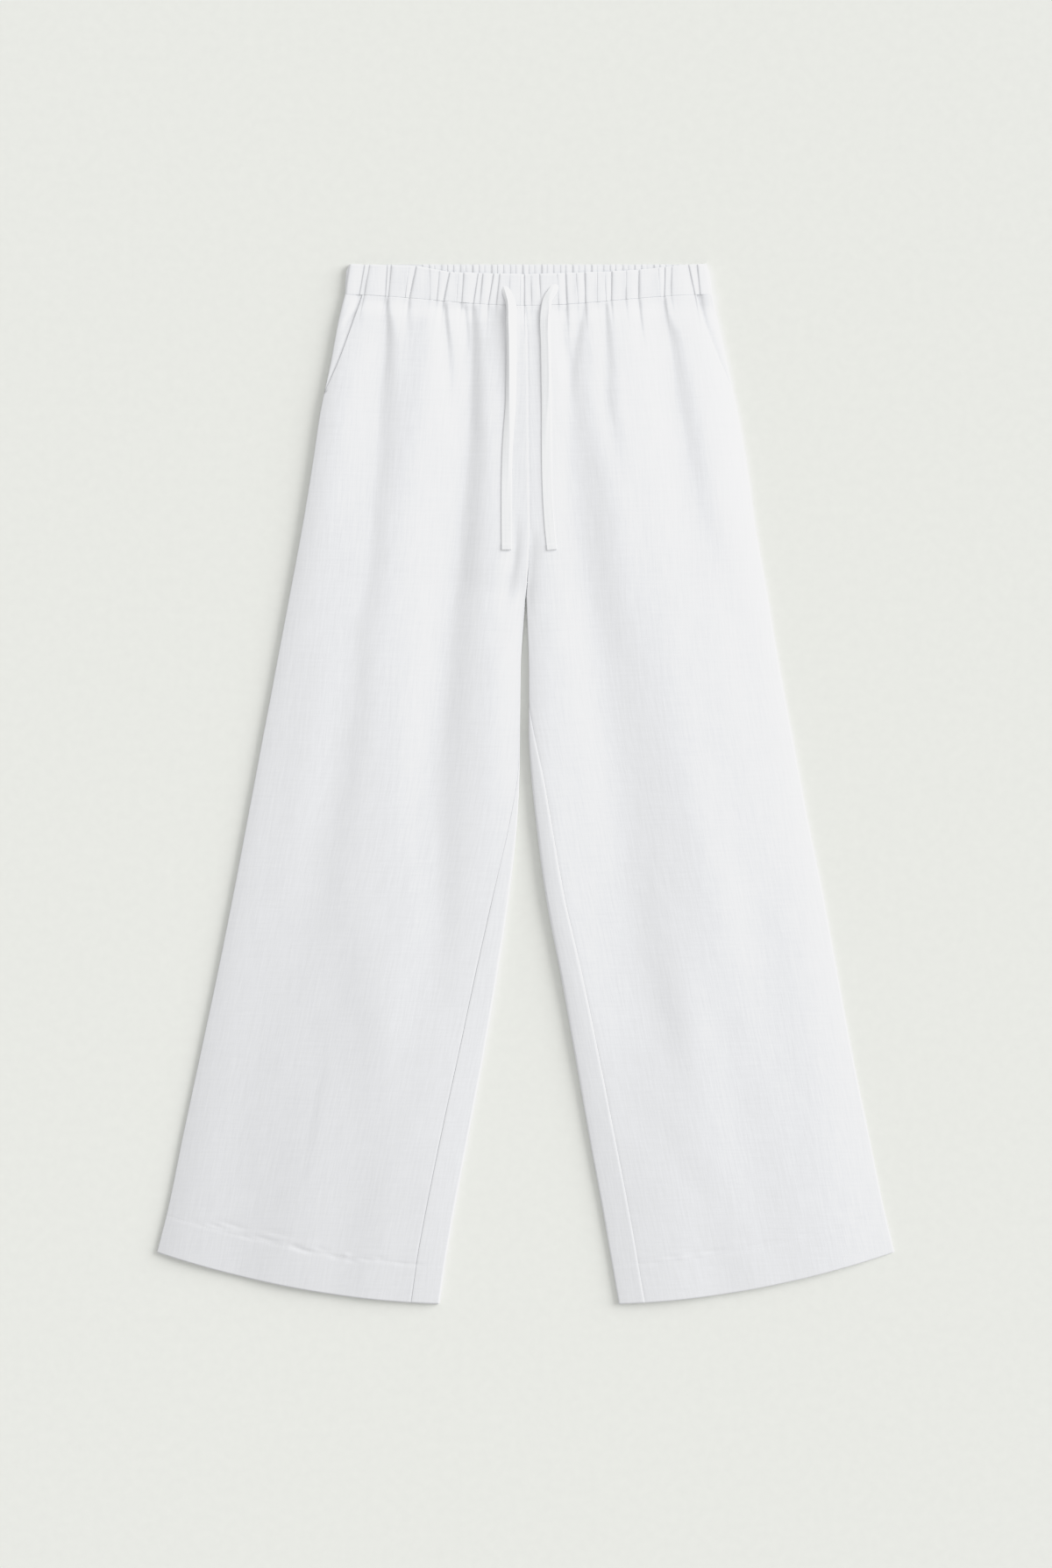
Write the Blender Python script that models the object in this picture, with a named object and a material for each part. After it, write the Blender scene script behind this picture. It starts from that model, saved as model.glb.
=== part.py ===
"""Linen drawstring trousers, laid flat on a surface with their front up.

Each leg is a flattened tube, lofted through sections from the waist seam to the hem. A panel is the
stretch of that tube between two of its seams, and the waistband is a short gathered tube above it.
X runs across with the wearer's right at -X, Y runs up to the waist, and Z up from the surface.
Sizes are in metres. Rows of the tables are in millimetres, and "down" is measured from the waist.
"""
import math
from collections import namedtuple

import bmesh
import bpy
import numpy as np
from mathutils import Vector
from mathutils.bvhtree import BVHTree

MM = 0.001
LENGTH = 1.0492
WALL = 0.0012
SEAM_GAP = 0.0003
UNDER_GAP = 0.0005

# The waist seam, the crotch and the hem, as distances down from the back band's top edge.
WAIST_SEAM_SIDE = 0.0305
WAIST_SEAM_CENTRE = 0.0415
CROTCH = 0.3372
HEM_SIDE = 0.9969
HEM_INSEAM = 1.0492
HEM_SAG = 0.0104
HEM_TURN_UP = 0.041
HEM_STEP = 0.0005
HEM_FROM = 1 - HEM_TURN_UP / (HEM_INSEAM - WAIST_SEAM_CENTRE)
HEM_STEP_LENGTH = 0.004
HALF_WAIST = 0.190
WAIST_CURVE_FADE = 0.08

# The front falls towards its outer edge, and each leg's folds are round, half as wide as high.
CLOSING_LENGTH = 0.030
SIDE_FALL_SHARE = 0.25
SIDE_FALL_REACH = 0.014
PUFF_BELOW_BAND = 0.020
CENTRE_VALLEY = 0.0007
CENTRE_VALLEY_WIDTH = 0.004

# How finely the panels are lofted. Rows lie closer below the band, at the crotch and at the hem.
ROW_DOWNS = (41.5, 48, 57, 69, 87, 107, 118, 128, 137, 160, 195, 232, 270, 307, 323, 337.2, 350, 371, 405,
             440, 475, 510, 550, 600, 670, 750, 840, 930, 1008.2, 1012.2, 1049.2)
FRONT_COLUMNS = 32
BACK_COLUMNS = 16
SIDE_PIECE_COLUMNS = 10
BEND_WORTH = 0.030
FOLD_STEPS = 24
FLAT_STEPS = 170

# The waistband, a gathered casing over elastic, folded at the sides. It has three columns a gather.
BAND_FOLD = 0.00245
BAND_HEIGHT_AT_SEAM = 2 * BAND_FOLD + SEAM_GAP
BAND_WALL = 0.0016
BAND_FOLD_COLUMNS = 5
GATHER_PUFF_LEAST = 0.0006
GATHER_PUFF_PER_PITCH = 0.16
GATHER_PUFF_MOST = 0.0022
GATHER_ROUNDNESS = 0.7
GATHER_COLUMNS = (0, 0.28, 0.72)
INSIDE_GATHERS_FROM = -0.104
INSIDE_GATHERS_TO = 0.164
INSIDE_GATHER_PITCH = 0.0063
INSIDE_GATHER_DRIFT = 0.0008
INSIDE_GATHER_RISE = 0.0009
INSIDE_DRIFT_TURN = 2.4
INSIDE_RISE_TURN = 1.7
INSIDE_COLUMNS = ((0, 0), (0.35, 1), (0.65, 1))
INSIDE_STRIP_SHARE = 0.34
PLAIN_BAND_COLUMNS = 6

POCKET_UNDERLAP = 0.012
GAPE_FADE = 0.06
BELOW_BAND = 0.0008

# The drawstring's free ends, flat tapes that lie over the band and the fronts.
TAPE_WIDTH = 0.0095
TAPE_THICKNESS = 0.0012
TAPE_CORNER = 0.0003
TAPE_STEP = 0.0115
TAPE_REACH = 0.006
TAPE_CLEARANCE = 0.0004
HIGH_ABOVE = 0.1

Section = namedtuple("Section", "down outer inner outer_rise mid_rise inner_rise inseam_in")
Crease = namedtuple("Crease", "leg depth outer_width inner_width path")
Gather = namedtuple("Gather", "top bottom strength")
Mouth = namedtuple("Mouth", "top_in end bow gape")
EdgePoint = namedtuple("EdgePoint", "x dip")
BandEdge = namedtuple("BandEdge", "down right left")

# outer and inner are the leg's two folded edges; the rises are the front's height beside its outer
# edge, at its middle and at its inner edge; inseam_in is how far round the fold and onto the front
# the inseam lies from the very edge. The outseam lies on the outer edge.
RIGHT_LEG = (
    Section(30, -182.5, 0, 7.0, 5.6, 5.2, 0),
    Section(50, -187.4, 0, 8.4, 7.6, 6.8, 0),
    Section(100, -196.9, 0, 9.0, 8.4, 7.4, 0),
    Section(150, -207.3, 0, 9.0, 8.6, 7.4, 0),
    Section(200, -214.8, 0, 8.9, 8.6, 7.4, 0),
    Section(260, -224.6, 0, 8.7, 8.5, 7.3, 0),
    Section(337, -238.8, -0.2, 8.2, 8.3, 7.4, 0),
    Section(400, -250.7, -4.7, 7.6, 8.0, 7.8, 0.6),
    Section(440, -258.2, -5.3, 7.2, 7.8, 7.9, 1.0),
    Section(480, -265.8, -5.7, 6.8, 7.6, 8.0, 1.8),
    Section(520, -273.3, -6.3, 6.4, 7.4, 7.9, 4),
    Section(560, -280.8, -8.4, 6.1, 7.2, 7.8, 9),
    Section(640, -296.0, -17.3, 5.7, 6.9, 7.4, 18),
    Section(720, -312.0, -29.3, 5.4, 6.6, 7.2, 23.5),
    Section(800, -329.0, -42.9, 5.2, 6.2, 7.0, 26.5),
    Section(880, -346.1, -58.0, 5.0, 5.9, 6.8, 28.5),
    Section(960, -362.7, -73.1, 4.9, 5.6, 6.6, 29.5),
    Section(997, -372.1, -79.5, 4.8, 5.5, 6.5, 30),
    Section(1050, -384.0, -87.3, 4.8, 5.4, 6.4, 30),
)
LEFT_LEG = (
    Section(30, 188.2, 0, 7.0, 5.6, 5.2, 0),
    Section(50, 192.2, 0, 8.2, 7.6, 6.8, 0),
    Section(100, 203.1, 0, 8.7, 8.6, 7.4, 0),
    Section(150, 213.7, 0, 8.5, 8.8, 7.4, 0),
    Section(200, 222.6, 0, 8.3, 8.9, 7.4, 0),
    Section(260, 230.9, 0, 8.0, 8.9, 7.3, 0),
    Section(337, 244.3, 0.9, 7.6, 8.7, 7.4, 0),
    Section(400, 254.7, 3.1, 7.2, 8.5, 8.2, 1.0),
    Section(440, 262.0, 3.3, 6.9, 8.3, 8.5, 3.2),
    Section(480, 269.4, 4.3, 6.7, 8.1, 8.8, 10),
    Section(520, 276.8, 7.0, 6.4, 7.9, 8.8, 16),
    Section(560, 284.3, 11.1, 6.2, 7.7, 8.8, 19),
    Section(640, 300.5, 21.6, 5.8, 7.3, 8.4, 22.5),
    Section(720, 315.1, 36.8, 5.5, 6.9, 7.8, 25),
    Section(800, 330.0, 50.9, 5.2, 6.4, 7.2, 26.7),
    Section(880, 346.5, 65.0, 5.0, 5.9, 6.6, 27.6),
    Section(960, 363.0, 79.6, 4.9, 5.5, 6.0, 28),
    Section(997, 372.1, 86.0, 4.8, 5.3, 5.7, 28),
    Section(1050, 384.0, 95.2, 4.8, 5.1, 5.5, 28),
)
CENTRE_SEAM = ((30, -1.3), (70, 1.8), (100, 2.2), (200, 3.1), (286, 3.6), (337, 0.5))

# Soft troughs down the fronts. A path holds (down, x, share of the depth) along the trough.
CREASES = (
    Crease("right", 2.3, 6, 24, ((31, -140, 0.9), (127, -138.5, 1), (186, -141.6, 1), (325, -153.5, 0.9),
                                 (429, -158.9, 0.8), (533, -174, 0.7), (636, -182, 0.5), (794, -180, 0.2))),
    Crease("right", 1.0, 5, 12, ((800, -199, 0.2), (850, -208, 1), (891, -217, 0.8), (931, -225, 0.1))),
    Crease("right", 1.8, 5, 9, ((31, -117, 1), (52, -116, 0.7), (75, -115, 0))),
    Crease("right", 1.6, 5, 10, ((31, -82, 1), (68, -77, 0.9), (112, -75.7, 0.3), (150, -75, 0))),
    Crease("right", 1.4, 4, 8, ((31, -63, 1), (68, -58, 0.4), (90, -57, 0))),
    Crease("right", 3.2, 7, 18, ((31, -51, 0.8), (77, -47.7, 1), (186, -48.2, 1), (244, -53.5, 1),
                                 (351, -54.9, 1), (455, -65, 0.9), (585, -67.7, 0.6), (662, -73, 0.3),
                                 (750, -80, 0))),
    Crease("right", 1.2, 4, 7, ((31, -36, 1), (60, -34.5, 0.3), (80, -34, 0))),
    Crease("right", 1.7, 6, 8, ((262, -7, 0), (294, -9.3, 1), (323, -14.2, 0.6), (350, -19, 0))),
    Crease("left", 1.7, 4, 6, ((285, 7.6, 0), (303, 4.9, 1), (322, 3.4, 0.8), (340, 3.2, 0))),
    Crease("left", 1.7, 12, 6, ((31, 41, 1), (83, 43.4, 1), (127, 48, 0.3), (160, 50, 0))),
    Crease("left", 2.9, 22, 7, ((31, 60.5, 0.8), (89, 54, 0.9), (127, 49.1, 1), (186, 53.5, 1),
                                (268, 69.5, 1), (361, 88.9, 0.9), (469, 108.4, 0.8), (574, 116.4, 0.7),
                                (680, 133.2, 0.6), (776, 153.5, 0.5), (835, 175.7, 0.1))),
    Crease("left", 1.4, 24, 16, ((850, 135, 0), (877, 143.8, 0.8), (912, 164.2, 1), (934, 184.5, 0.7),
                                 (965, 200, 0))),
    Crease("left", 1.9, 14, 5, ((31, 82, 1), (83, 85.9, 1), (142, 93.4, 0.8), (186, 100.4, 0.4),
                                (225, 107, 0))),
    Crease("left", 1.2, 8, 4, ((31, 114.6, 1), (68, 118.1, 0.4), (90, 120, 0))),
    Crease("left", 2.3, 22, 6, ((31, 139, 0.8), (77, 149.1, 0.9), (127, 160.6, 1), (186, 172.1, 1),
                                (242, 179.5, 0.9), (325, 204.9, 0.7), (422, 235.5, 0.4), (477, 243.8, 0.1))),
)

# The front band's gathers, each a groove from its top edge to the waist seam.
GATHERS = (
    Gather(-162.4, -167.7, 1), Gather(-157.1, -162.4, 0.5), Gather(-139.4, -141.4, 1),
    Gather(-135.3, -137.8, 0.5), Gather(-118.4, -121.6, 0.5), Gather(-110.3, -117.3, 1),
    Gather(-96.9, -96.9, 0.5), Gather(-87.2, -89.3, 0.5), Gather(-76.6, -82.7, 1),
    Gather(-68.4, -70.0, 0.4), Gather(-62.4, -64.2, 0.6), Gather(-47.9, -52.6, 1),
    Gather(-43.0, -46.0, 0.5), Gather(-32.3, -37.6, 1), Gather(-26.1, -29.4, 0.6),
    Gather(-16.0, -16.0, 0.3), Gather(-5.9, -6.1, 0.4), Gather(-1.3, -1.3, 1),
    Gather(5.8, 6.2, 0.3), Gather(14.2, 15.5, 0.5), Gather(31.4, 33.2, 0.5),
    Gather(40.3, 41.8, 1), Gather(50.9, 52.5, 0.5), Gather(59.7, 60.4, 1),
    Gather(72.1, 72.1, 0.5), Gather(80.1, 80.9, 0.5), Gather(86.9, 86.4, 1),
    Gather(101.3, 101.3, 0.5), Gather(114.3, 114.0, 1), Gather(133.6, 135.4, 0.5),
    Gather(140.6, 139.9, 1), Gather(147.4, 147.4, 0.4), Gather(164.2, 170.8, 1),
    Gather(173.0, 176.0, 0.8),
)
# The grooves beside the side folds close the row of gathers at either end.
FOLDED_GATHERS = (Gather(-177.6, -182.2, 0.9), *GATHERS, Gather(181.8, 187.9, 0.9))
FRONT_BAND_TOP = (
    EdgePoint(-183, 0), EdgePoint(-140, 0.9), EdgePoint(-110, 1.9), EdgePoint(-77, 8.1),
    EdgePoint(-46, 9.1), EdgePoint(0, 10.2), EdgePoint(82, 7.7), EdgePoint(115, 5.7),
    EdgePoint(136, 3.4), EdgePoint(163, 0.5), EdgePoint(186, 0),
)
BAND_EDGES = (BandEdge(0, -177.8, 182.0), BandEdge(7, -181.2, 184.6), BandEdge(30.5, -182.5, 188.2))
POCKET_MOUTHS = {"right": Mouth(20.5, 126, 1, 0.3), "left": Mouth(17.0, 124, 1.9, 1.3)}

# The tapes' middle lines over the band and the fronts, as (down, x).
TAPES = {
    "right": ((21, -22.6), (28, -19), (38, -14.8), (62, -13.7), (87, -13.7), (118, -14.6), (145, -15.5),
              (166, -17.6), (193, -18.5), (228, -18.8), (264, -18.8), (288.5, -18.5)),
    "left": ((18, 31.2), (26.6, 27.4), (35.4, 22.6), (46, 20.6), (87, 20.8), (139, 21.1), (186, 21.1),
             (225, 21.8), (242, 22.6), (266, 24.3), (288.5, 26.6)),
}

LINEN = (0.86, 0.87, 0.88)
LINEN_BAND = (0.84, 0.85, 0.86)
LINEN_TAPE = (0.88, 0.89, 0.89)
POCKET_LINEN = (0.80, 0.81, 0.82)


def ease(value):
    """0 to 1 with level ends, for a value clamped to 0 to 1."""
    value = np.clip(value, 0.0, 1.0)
    return value * value * (3 - 2 * value)


def quarter_round(share):
    """The height of a quarter circle, from 0 at its foot to 1 from its crown on."""
    return np.sqrt(1 - (1 - np.clip(share, 0.0, 1.0)) ** 2)


def curve_through(places, values, at):
    """A smooth curve through rows of a table, read at any place along it."""
    places = np.asarray(places, float)
    values = np.asarray(values, float)
    slopes = np.gradient(values, places)
    at = np.clip(at, places[0], places[-1])
    row = np.clip(np.searchsorted(places, at, side="right") - 1, 0, len(places) - 2)
    span = places[row + 1] - places[row]
    t = (at - places[row]) / span
    before = values[row] * (1 + 2 * t) * (1 - t) ** 2 + slopes[row] * span * t * (1 - t) ** 2
    return before + values[row + 1] * t * t * (3 - 2 * t) + slopes[row + 1] * span * t * t * (t - 1)


def from_table(table, column, down):
    """One named column of a table, read at a distance down, in metres."""
    places = [row.down for row in table]
    values = [getattr(row, column) for row in table]
    return curve_through(places, values, np.asarray(down) / MM) * MM


def height_on_cloth(down):
    """The Y of a distance down from the waist's top edge."""
    return LENGTH / 2 - down


def waist_seam_down(x):
    """How far down the waist seam lies, lowest at the centre."""
    middle = np.cos(np.clip(x / HALF_WAIST, -1, 1) * math.pi / 2) ** 2
    return WAIST_SEAM_SIDE + (WAIST_SEAM_CENTRE - WAIST_SEAM_SIDE) * middle


def centre_seam_x(down):
    places, values = zip(*CENTRE_SEAM)
    return curve_through(places, values, np.asarray(down) / MM) * MM


class Leg:
    """One leg's flattened tube, from the waist seam at v = 0 to the hem at v = 1."""

    def __init__(self, name, table):
        self.name = name
        self.table = table
        self.sign = -1 if name == "right" else 1
        self.mouth = POCKET_MOUTHS[name]
        self.creases = [crease for crease in CREASES if crease.leg == name]

    def edges(self, v):
        """The row's outer and inner ends: (down, x) of each."""
        outer_down = WAIST_SEAM_SIDE + v * (HEM_SIDE - WAIST_SEAM_SIDE)
        inner_down = WAIST_SEAM_CENTRE + v * (HEM_INSEAM - WAIST_SEAM_CENTRE)
        outer_x = float(from_table(self.table, "outer", outer_down))
        if inner_down < CROTCH:
            inner_x = float(centre_seam_x(inner_down)) + self.sign * SEAM_GAP / 2
        else:
            inner_x = float(from_table(self.table, "inner", inner_down))
        return outer_down, outer_x, inner_down, inner_x

    def crease_depth(self, x, down):
        """How far the troughs pull the front down at each point of a row."""
        total = np.zeros_like(x)
        for crease in self.creases:
            places = [point[0] for point in crease.path]
            middle = curve_through(places, [point[1] for point in crease.path], down / MM) * MM
            share = np.interp(down / MM, places, [point[2] for point in crease.path], 0, 0)
            off = (x - middle) * self.sign
            width = np.where(off > 0, crease.outer_width, crease.inner_width) * MM
            total += crease.depth * MM * share / (1 + (off / width) ** 2)
        return total

    def outlines(self, v):
        """The row's top and bottom outlines as dense points, from the outer fold to the inner edge."""
        outer_down, outer_x, inner_down, inner_x = self.edges(v)
        width = abs(inner_x - outer_x)
        closed = float(ease((inner_down - CROTCH + CLOSING_LENGTH) / CLOSING_LENGTH))
        outer_rise = float(from_table(self.table, "outer_rise", outer_down))
        inner_rise = float(from_table(self.table, "inner_rise", inner_down))
        mid_rise = float(from_table(self.table, "mid_rise", (outer_down + inner_down) / 2))
        edge_puff = float(ease((outer_down - WAIST_SEAM_SIDE) / PUFF_BELOW_BAND))
        edge_rise = outer_rise * (1 - SIDE_FALL_SHARE)
        outer_round = (BAND_HEIGHT_AT_SEAM + (edge_rise - BAND_HEIGHT_AT_SEAM) * edge_puff) / 2
        inner_round = inner_rise / 2
        turn = np.linspace(0, math.pi / 2, FOLD_STEPS)
        from_outer = np.concatenate([outer_round * (1 - np.cos(turn)),
                                     np.linspace(outer_round, width - inner_round, FLAT_STEPS)[1:-1],
                                     width - inner_round * (1 - np.cos(turn))[::-1]])
        u = from_outer / width
        x = outer_x + (inner_x - outer_x) * u
        line = outer_down + (inner_down - outer_down) * u
        down = line + HEM_SAG * v * 4 * u * (1 - u)
        seam_line = WAIST_SEAM_SIDE + (WAIST_SEAM_CENTRE - WAIST_SEAM_SIDE) * u
        down = down + (waist_seam_down(x) + SEAM_GAP - seam_line) * max(0.0, 1 - v / WAIST_CURVE_FADE)
        rise = outer_rise * (1 - u) * (1 - 2 * u) + mid_rise * 4 * u * (1 - u) + inner_rise * u * (2 * u - 1)
        rise = rise - self.crease_depth(x, down)
        rise = rise - SIDE_FALL_SHARE * outer_rise * np.exp(-from_outer / SIDE_FALL_REACH)
        valley = np.exp(-((width - from_outer) / CENTRE_VALLEY_WIDTH) ** 2)
        rise = rise - CENTRE_VALLEY * (1 - closed) * valley
        puff = ease((down - waist_seam_down(x)) / PUFF_BELOW_BAND)
        rise = BAND_HEIGHT_AT_SEAM + (rise - BAND_HEIGHT_AT_SEAM) * puff
        rise = rise + HEM_STEP * float(ease((v - HEM_FROM) / HEM_STEP_LENGTH))
        outer_lift = quarter_round(from_outer / outer_round)
        inner_lift = quarter_round((width - from_outer) / inner_round)
        top = outer_round + (rise - outer_round) * outer_lift
        top = top - closed * (top - inner_round) * (1 - inner_lift)
        bottom = outer_round * (1 - outer_lift) + closed * inner_round * (1 - inner_lift)
        y = height_on_cloth(down)
        return np.column_stack([x, y, top]), np.column_stack([x, y, bottom])

    def inseam_in(self, v):
        return float(from_table(self.table, "inseam_in", self.edges(v)[2]))

    def mouth_in(self, v):
        """How far in from the outer edge the pocket mouth lies, 0 below it."""
        share = (self.edges(v)[0] - WAIST_SEAM_SIDE) / (self.mouth.end * MM - WAIST_SEAM_SIDE)
        return self.mouth.top_in * MM * max(0.0, 1 - share ** self.mouth.bow)

    def is_closed(self, v):
        return self.edges(v)[2] >= CROTCH - 1e-9

    def front_row(self, v):
        """The front's wall at v, from the outseam or the pocket mouth to the inseam or centre seam."""
        top = self.outlines(v)[0]
        start = max(SEAM_GAP / 2, self.mouth_in(v))
        end = path_length(top)
        if self.is_closed(v):
            end -= self.inseam_in(v) + SEAM_GAP / 2
        points, inward = resample(cut(top, start, end), FRONT_COLUMNS, self.sign)
        return points, points + inward * WALL

    def back_row(self, v):
        """The back's wall at v, from the outseam under the leg and up its inner fold to the inseam."""
        top, bottom = self.outlines(v)
        end = path_length(bottom)
        inseam = self.inseam_in(v) - SEAM_GAP / 2
        if self.is_closed(v):
            end += min(0.0, inseam)
        path = cut(bottom, SEAM_GAP / 2, end)
        if self.is_closed(v) and inseam > 0:
            length = path_length(top)
            path = np.vstack([path, cut(top, length - inseam, length)[::-1][1:]])
        points, inward = resample(path, BACK_COLUMNS, -self.sign)
        return points, points + inward * WALL

    def side_piece_row(self, v):
        """Level with the fold at the outseam, and under the front from the pocket mouth on."""
        mouth = self.mouth_in(v)
        path = cut(self.outlines(v)[0], SEAM_GAP / 2, mouth + POCKET_UNDERLAP)
        points, inward = resample(path, SIDE_PIECE_COLUMNS, self.sign)
        gape = self.mouth.gape * MM * math.sin(math.pi * min(1.0, v / GAPE_FADE))
        sunk = ease(distances(points) / max(mouth, MM)) * (WALL + UNDER_GAP + gape)
        return points + inward * sunk[:, None], points + inward * (sunk + WALL)[:, None]


def distances(points):
    steps = np.linalg.norm(np.diff(points, axis=0), axis=1)
    return np.concatenate([[0.0], np.cumsum(steps)])


def path_length(points):
    return float(distances(points)[-1])


def point_at(points, where):
    along = distances(points)
    return np.column_stack([np.interp(where, along, points[:, axis]) for axis in range(3)])


def cut(points, start, end):
    """The stretch of a path between two distances along it."""
    along = distances(points)
    inside = points[(along > start + 1e-7) & (along < end - 1e-7)]
    ends = point_at(points, np.array([start, end]))
    return np.vstack([ends[:1], inside, ends[1:]])


def resample(path, count, turn):
    """count points along a path, closer where it bends, and the unit normals on its inward side."""
    along = distances(path)
    tangents = np.gradient(path, along, axis=0)[:, [0, 2]]
    angles = np.unwrap(np.arctan2(tangents[:, 1], tangents[:, 0]))
    worth = along + BEND_WORTH * np.concatenate([[0.0], np.cumsum(np.abs(np.diff(angles)))])
    where = np.interp(np.linspace(0, worth[-1], count), worth, along)
    facing = np.interp(where, along, angles) + turn * math.pi / 2
    inward = np.column_stack([np.cos(facing), np.zeros(count), np.sin(facing)])
    return point_at(path, where), inward


def linen(name, colour):
    material = bpy.data.materials.new(name)
    material.use_nodes = True
    shader = material.node_tree.nodes["Principled BSDF"]
    shader.inputs["Base Color"].default_value = (*colour, 1)
    shader.inputs["Roughness"].default_value = 0.9
    shader.inputs["Metallic"].default_value = 0.0
    return material


def add_object(name, mesh, material, collection):
    """A new object for a mesh, in the trousers' collection."""
    thing = bpy.data.objects.new(name, mesh)
    mesh.materials.append(material)
    collection.objects.link(thing)
    return thing


def closed_wall(name, outer, inner, material, collection):
    """A closed wall of cloth, lofted row by row through its outer and its inner outlines."""
    mesh = bpy.data.meshes.new(name)
    form = bmesh.new()
    outer_grid = [[form.verts.new(point) for point in row] for row in outer]
    inner_grid = [[form.verts.new(point) for point in row] for row in inner]
    for grid, flip in ((outer_grid, False), (inner_grid, True)):
        for upper, lower in zip(grid[:-1], grid[1:]):
            for column in range(len(upper) - 1):
                corners = [upper[column], lower[column], lower[column + 1], upper[column + 1]]
                form.faces.new(corners[::-1] if flip else corners)
    for row in (0, -1):
        for column in range(len(outer_grid[0]) - 1):
            form.faces.new([outer_grid[row][column], outer_grid[row][column + 1],
                            inner_grid[row][column + 1], inner_grid[row][column]])
    for column in (0, -1):
        for row in range(len(outer_grid) - 1):
            form.faces.new([outer_grid[row][column], inner_grid[row][column],
                            inner_grid[row + 1][column], outer_grid[row + 1][column]])
    bmesh.ops.recalc_face_normals(form, faces=form.faces)
    form.to_mesh(mesh)
    form.free()
    mesh.shade_smooth()
    return add_object(name, mesh, material, collection)


def band_edges(down):
    """The X of the band's right and left folds at a distance down."""
    places = [row.down for row in BAND_EDGES]
    right = np.interp(down / MM, places, [row.right for row in BAND_EDGES]) * MM
    left = np.interp(down / MM, places, [row.left for row in BAND_EDGES]) * MM
    return right, left


def band_row(share, columns, tops, upper):
    """Points across the band and their inward normals; upper is 1 in front and -1 at the back.

    share runs from the band's top edge to the waist seam, and tops are the top edge's points.
    """
    right, left = band_edges(share * WAIST_SEAM_SIDE)
    rounds = BAND_FOLD * (1 - np.cos(np.linspace(0, math.pi / 2, BAND_FOLD_COLUMNS)))
    x = np.concatenate([right + rounds, columns, left - rounds[::-1]])
    top_down = np.interp(x / MM, [point.x for point in tops], [point.dip for point in tops]) * MM
    down = top_down + (waist_seam_down(x) - top_down) * share
    off = np.minimum(x - right, left - x)
    angle = np.arccos(np.clip(1 - off / BAND_FOLD, 0, 1))
    z = BAND_FOLD + SEAM_GAP / 2 + upper * (SEAM_GAP / 2 + BAND_FOLD * np.sin(angle))
    sideways = np.where(x < (right + left) / 2, np.cos(angle), -np.cos(angle))
    inward = np.column_stack([sideways, np.zeros_like(x), -upper * np.sin(angle)])
    return np.column_stack([x, height_on_cloth(down), z]), inward


def gather_columns(share):
    """The front band's columns at one row: the x of each gather and two between, and their puff."""
    places, puffs = [], []
    for one, other in zip(FOLDED_GATHERS[:-1], FOLDED_GATHERS[1:]):
        pitch = (other.top - one.top + other.bottom - one.bottom) / 2 * MM
        puff = min(GATHER_PUFF_MOST, GATHER_PUFF_LEAST + GATHER_PUFF_PER_PITCH * pitch)
        for between in GATHER_COLUMNS:
            floor = 1 - (one.strength + (other.strength - one.strength) * between)
            top = one.top + (other.top - one.top) * between
            bottom = one.bottom + (other.bottom - one.bottom) * between
            places.append((top + (bottom - top) * share) * MM)
            puffs.append(puff * (floor + (1 - floor) * math.sin(math.pi * between) ** GATHER_ROUNDNESS))
    return np.array(places[1:]), np.array(puffs[1:])


def inside_gather_columns():
    """The back band's columns: three for each gather that shows inside, and their rise."""
    places, rises = [], []
    for number in range(round((INSIDE_GATHERS_TO - INSIDE_GATHERS_FROM) / INSIDE_GATHER_PITCH)):
        drift = INSIDE_GATHER_DRIFT * math.sin(number * INSIDE_DRIFT_TURN)
        rise = INSIDE_GATHER_RISE * (0.75 + 0.25 * math.sin(number * INSIDE_RISE_TURN))
        for between, height in INSIDE_COLUMNS:
            places.append(INSIDE_GATHERS_FROM + (number + between) * INSIDE_GATHER_PITCH + drift)
            rises.append(rise * height)
    before = np.linspace(BAND_EDGES[0].right * MM + BAND_FOLD, places[0], PLAIN_BAND_COLUMNS)[1:-1]
    after = np.linspace(places[-1], BAND_EDGES[0].left * MM - BAND_FOLD, PLAIN_BAND_COLUMNS)[1:-1]
    plain = [0.0] * len(before)
    return np.concatenate([before, places, after]), np.array(plain + rises + plain)


def front_band(collection, material):
    """The front waistband: gathers outside, a plain inside, and a top edge that dips in the middle."""
    outer, inner = [], []
    for share, swell in ((0.0, 0.35), (0.1, 0.95), (0.6, 1.0), (1.0, 0.3)):
        columns, puffs = gather_columns(share)
        points, inward = band_row(share, columns, FRONT_BAND_TOP, 1)
        puffs = np.pad(puffs * swell, BAND_FOLD_COLUMNS)
        outer.append(points - inward * puffs[:, None])
        inner.append(points + inward * BAND_WALL)
    closed_wall("waistband_front", outer, inner, material, collection)


def back_band(collection, material):
    """The back waistband: its outside lies flat, and its inside is gathered along the top edge."""
    outer, inner = [], []
    columns, rises = inside_gather_columns()
    level_top = (EdgePoint(-200, 0), EdgePoint(200, 0))
    for share, swell in ((0.0, 0.6), (INSIDE_STRIP_SHARE / 2, 1.0), (INSIDE_STRIP_SHARE, 0.0), (1.0, 0.0)):
        points, inward = band_row(share, columns, level_top, -1)
        rise = np.pad(rises * swell, BAND_FOLD_COLUMNS)
        outer.append(points)
        inner.append(points + inward * (BAND_WALL + rise)[:, None])
    closed_wall("waistband_back", outer, inner, material, collection)


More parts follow.
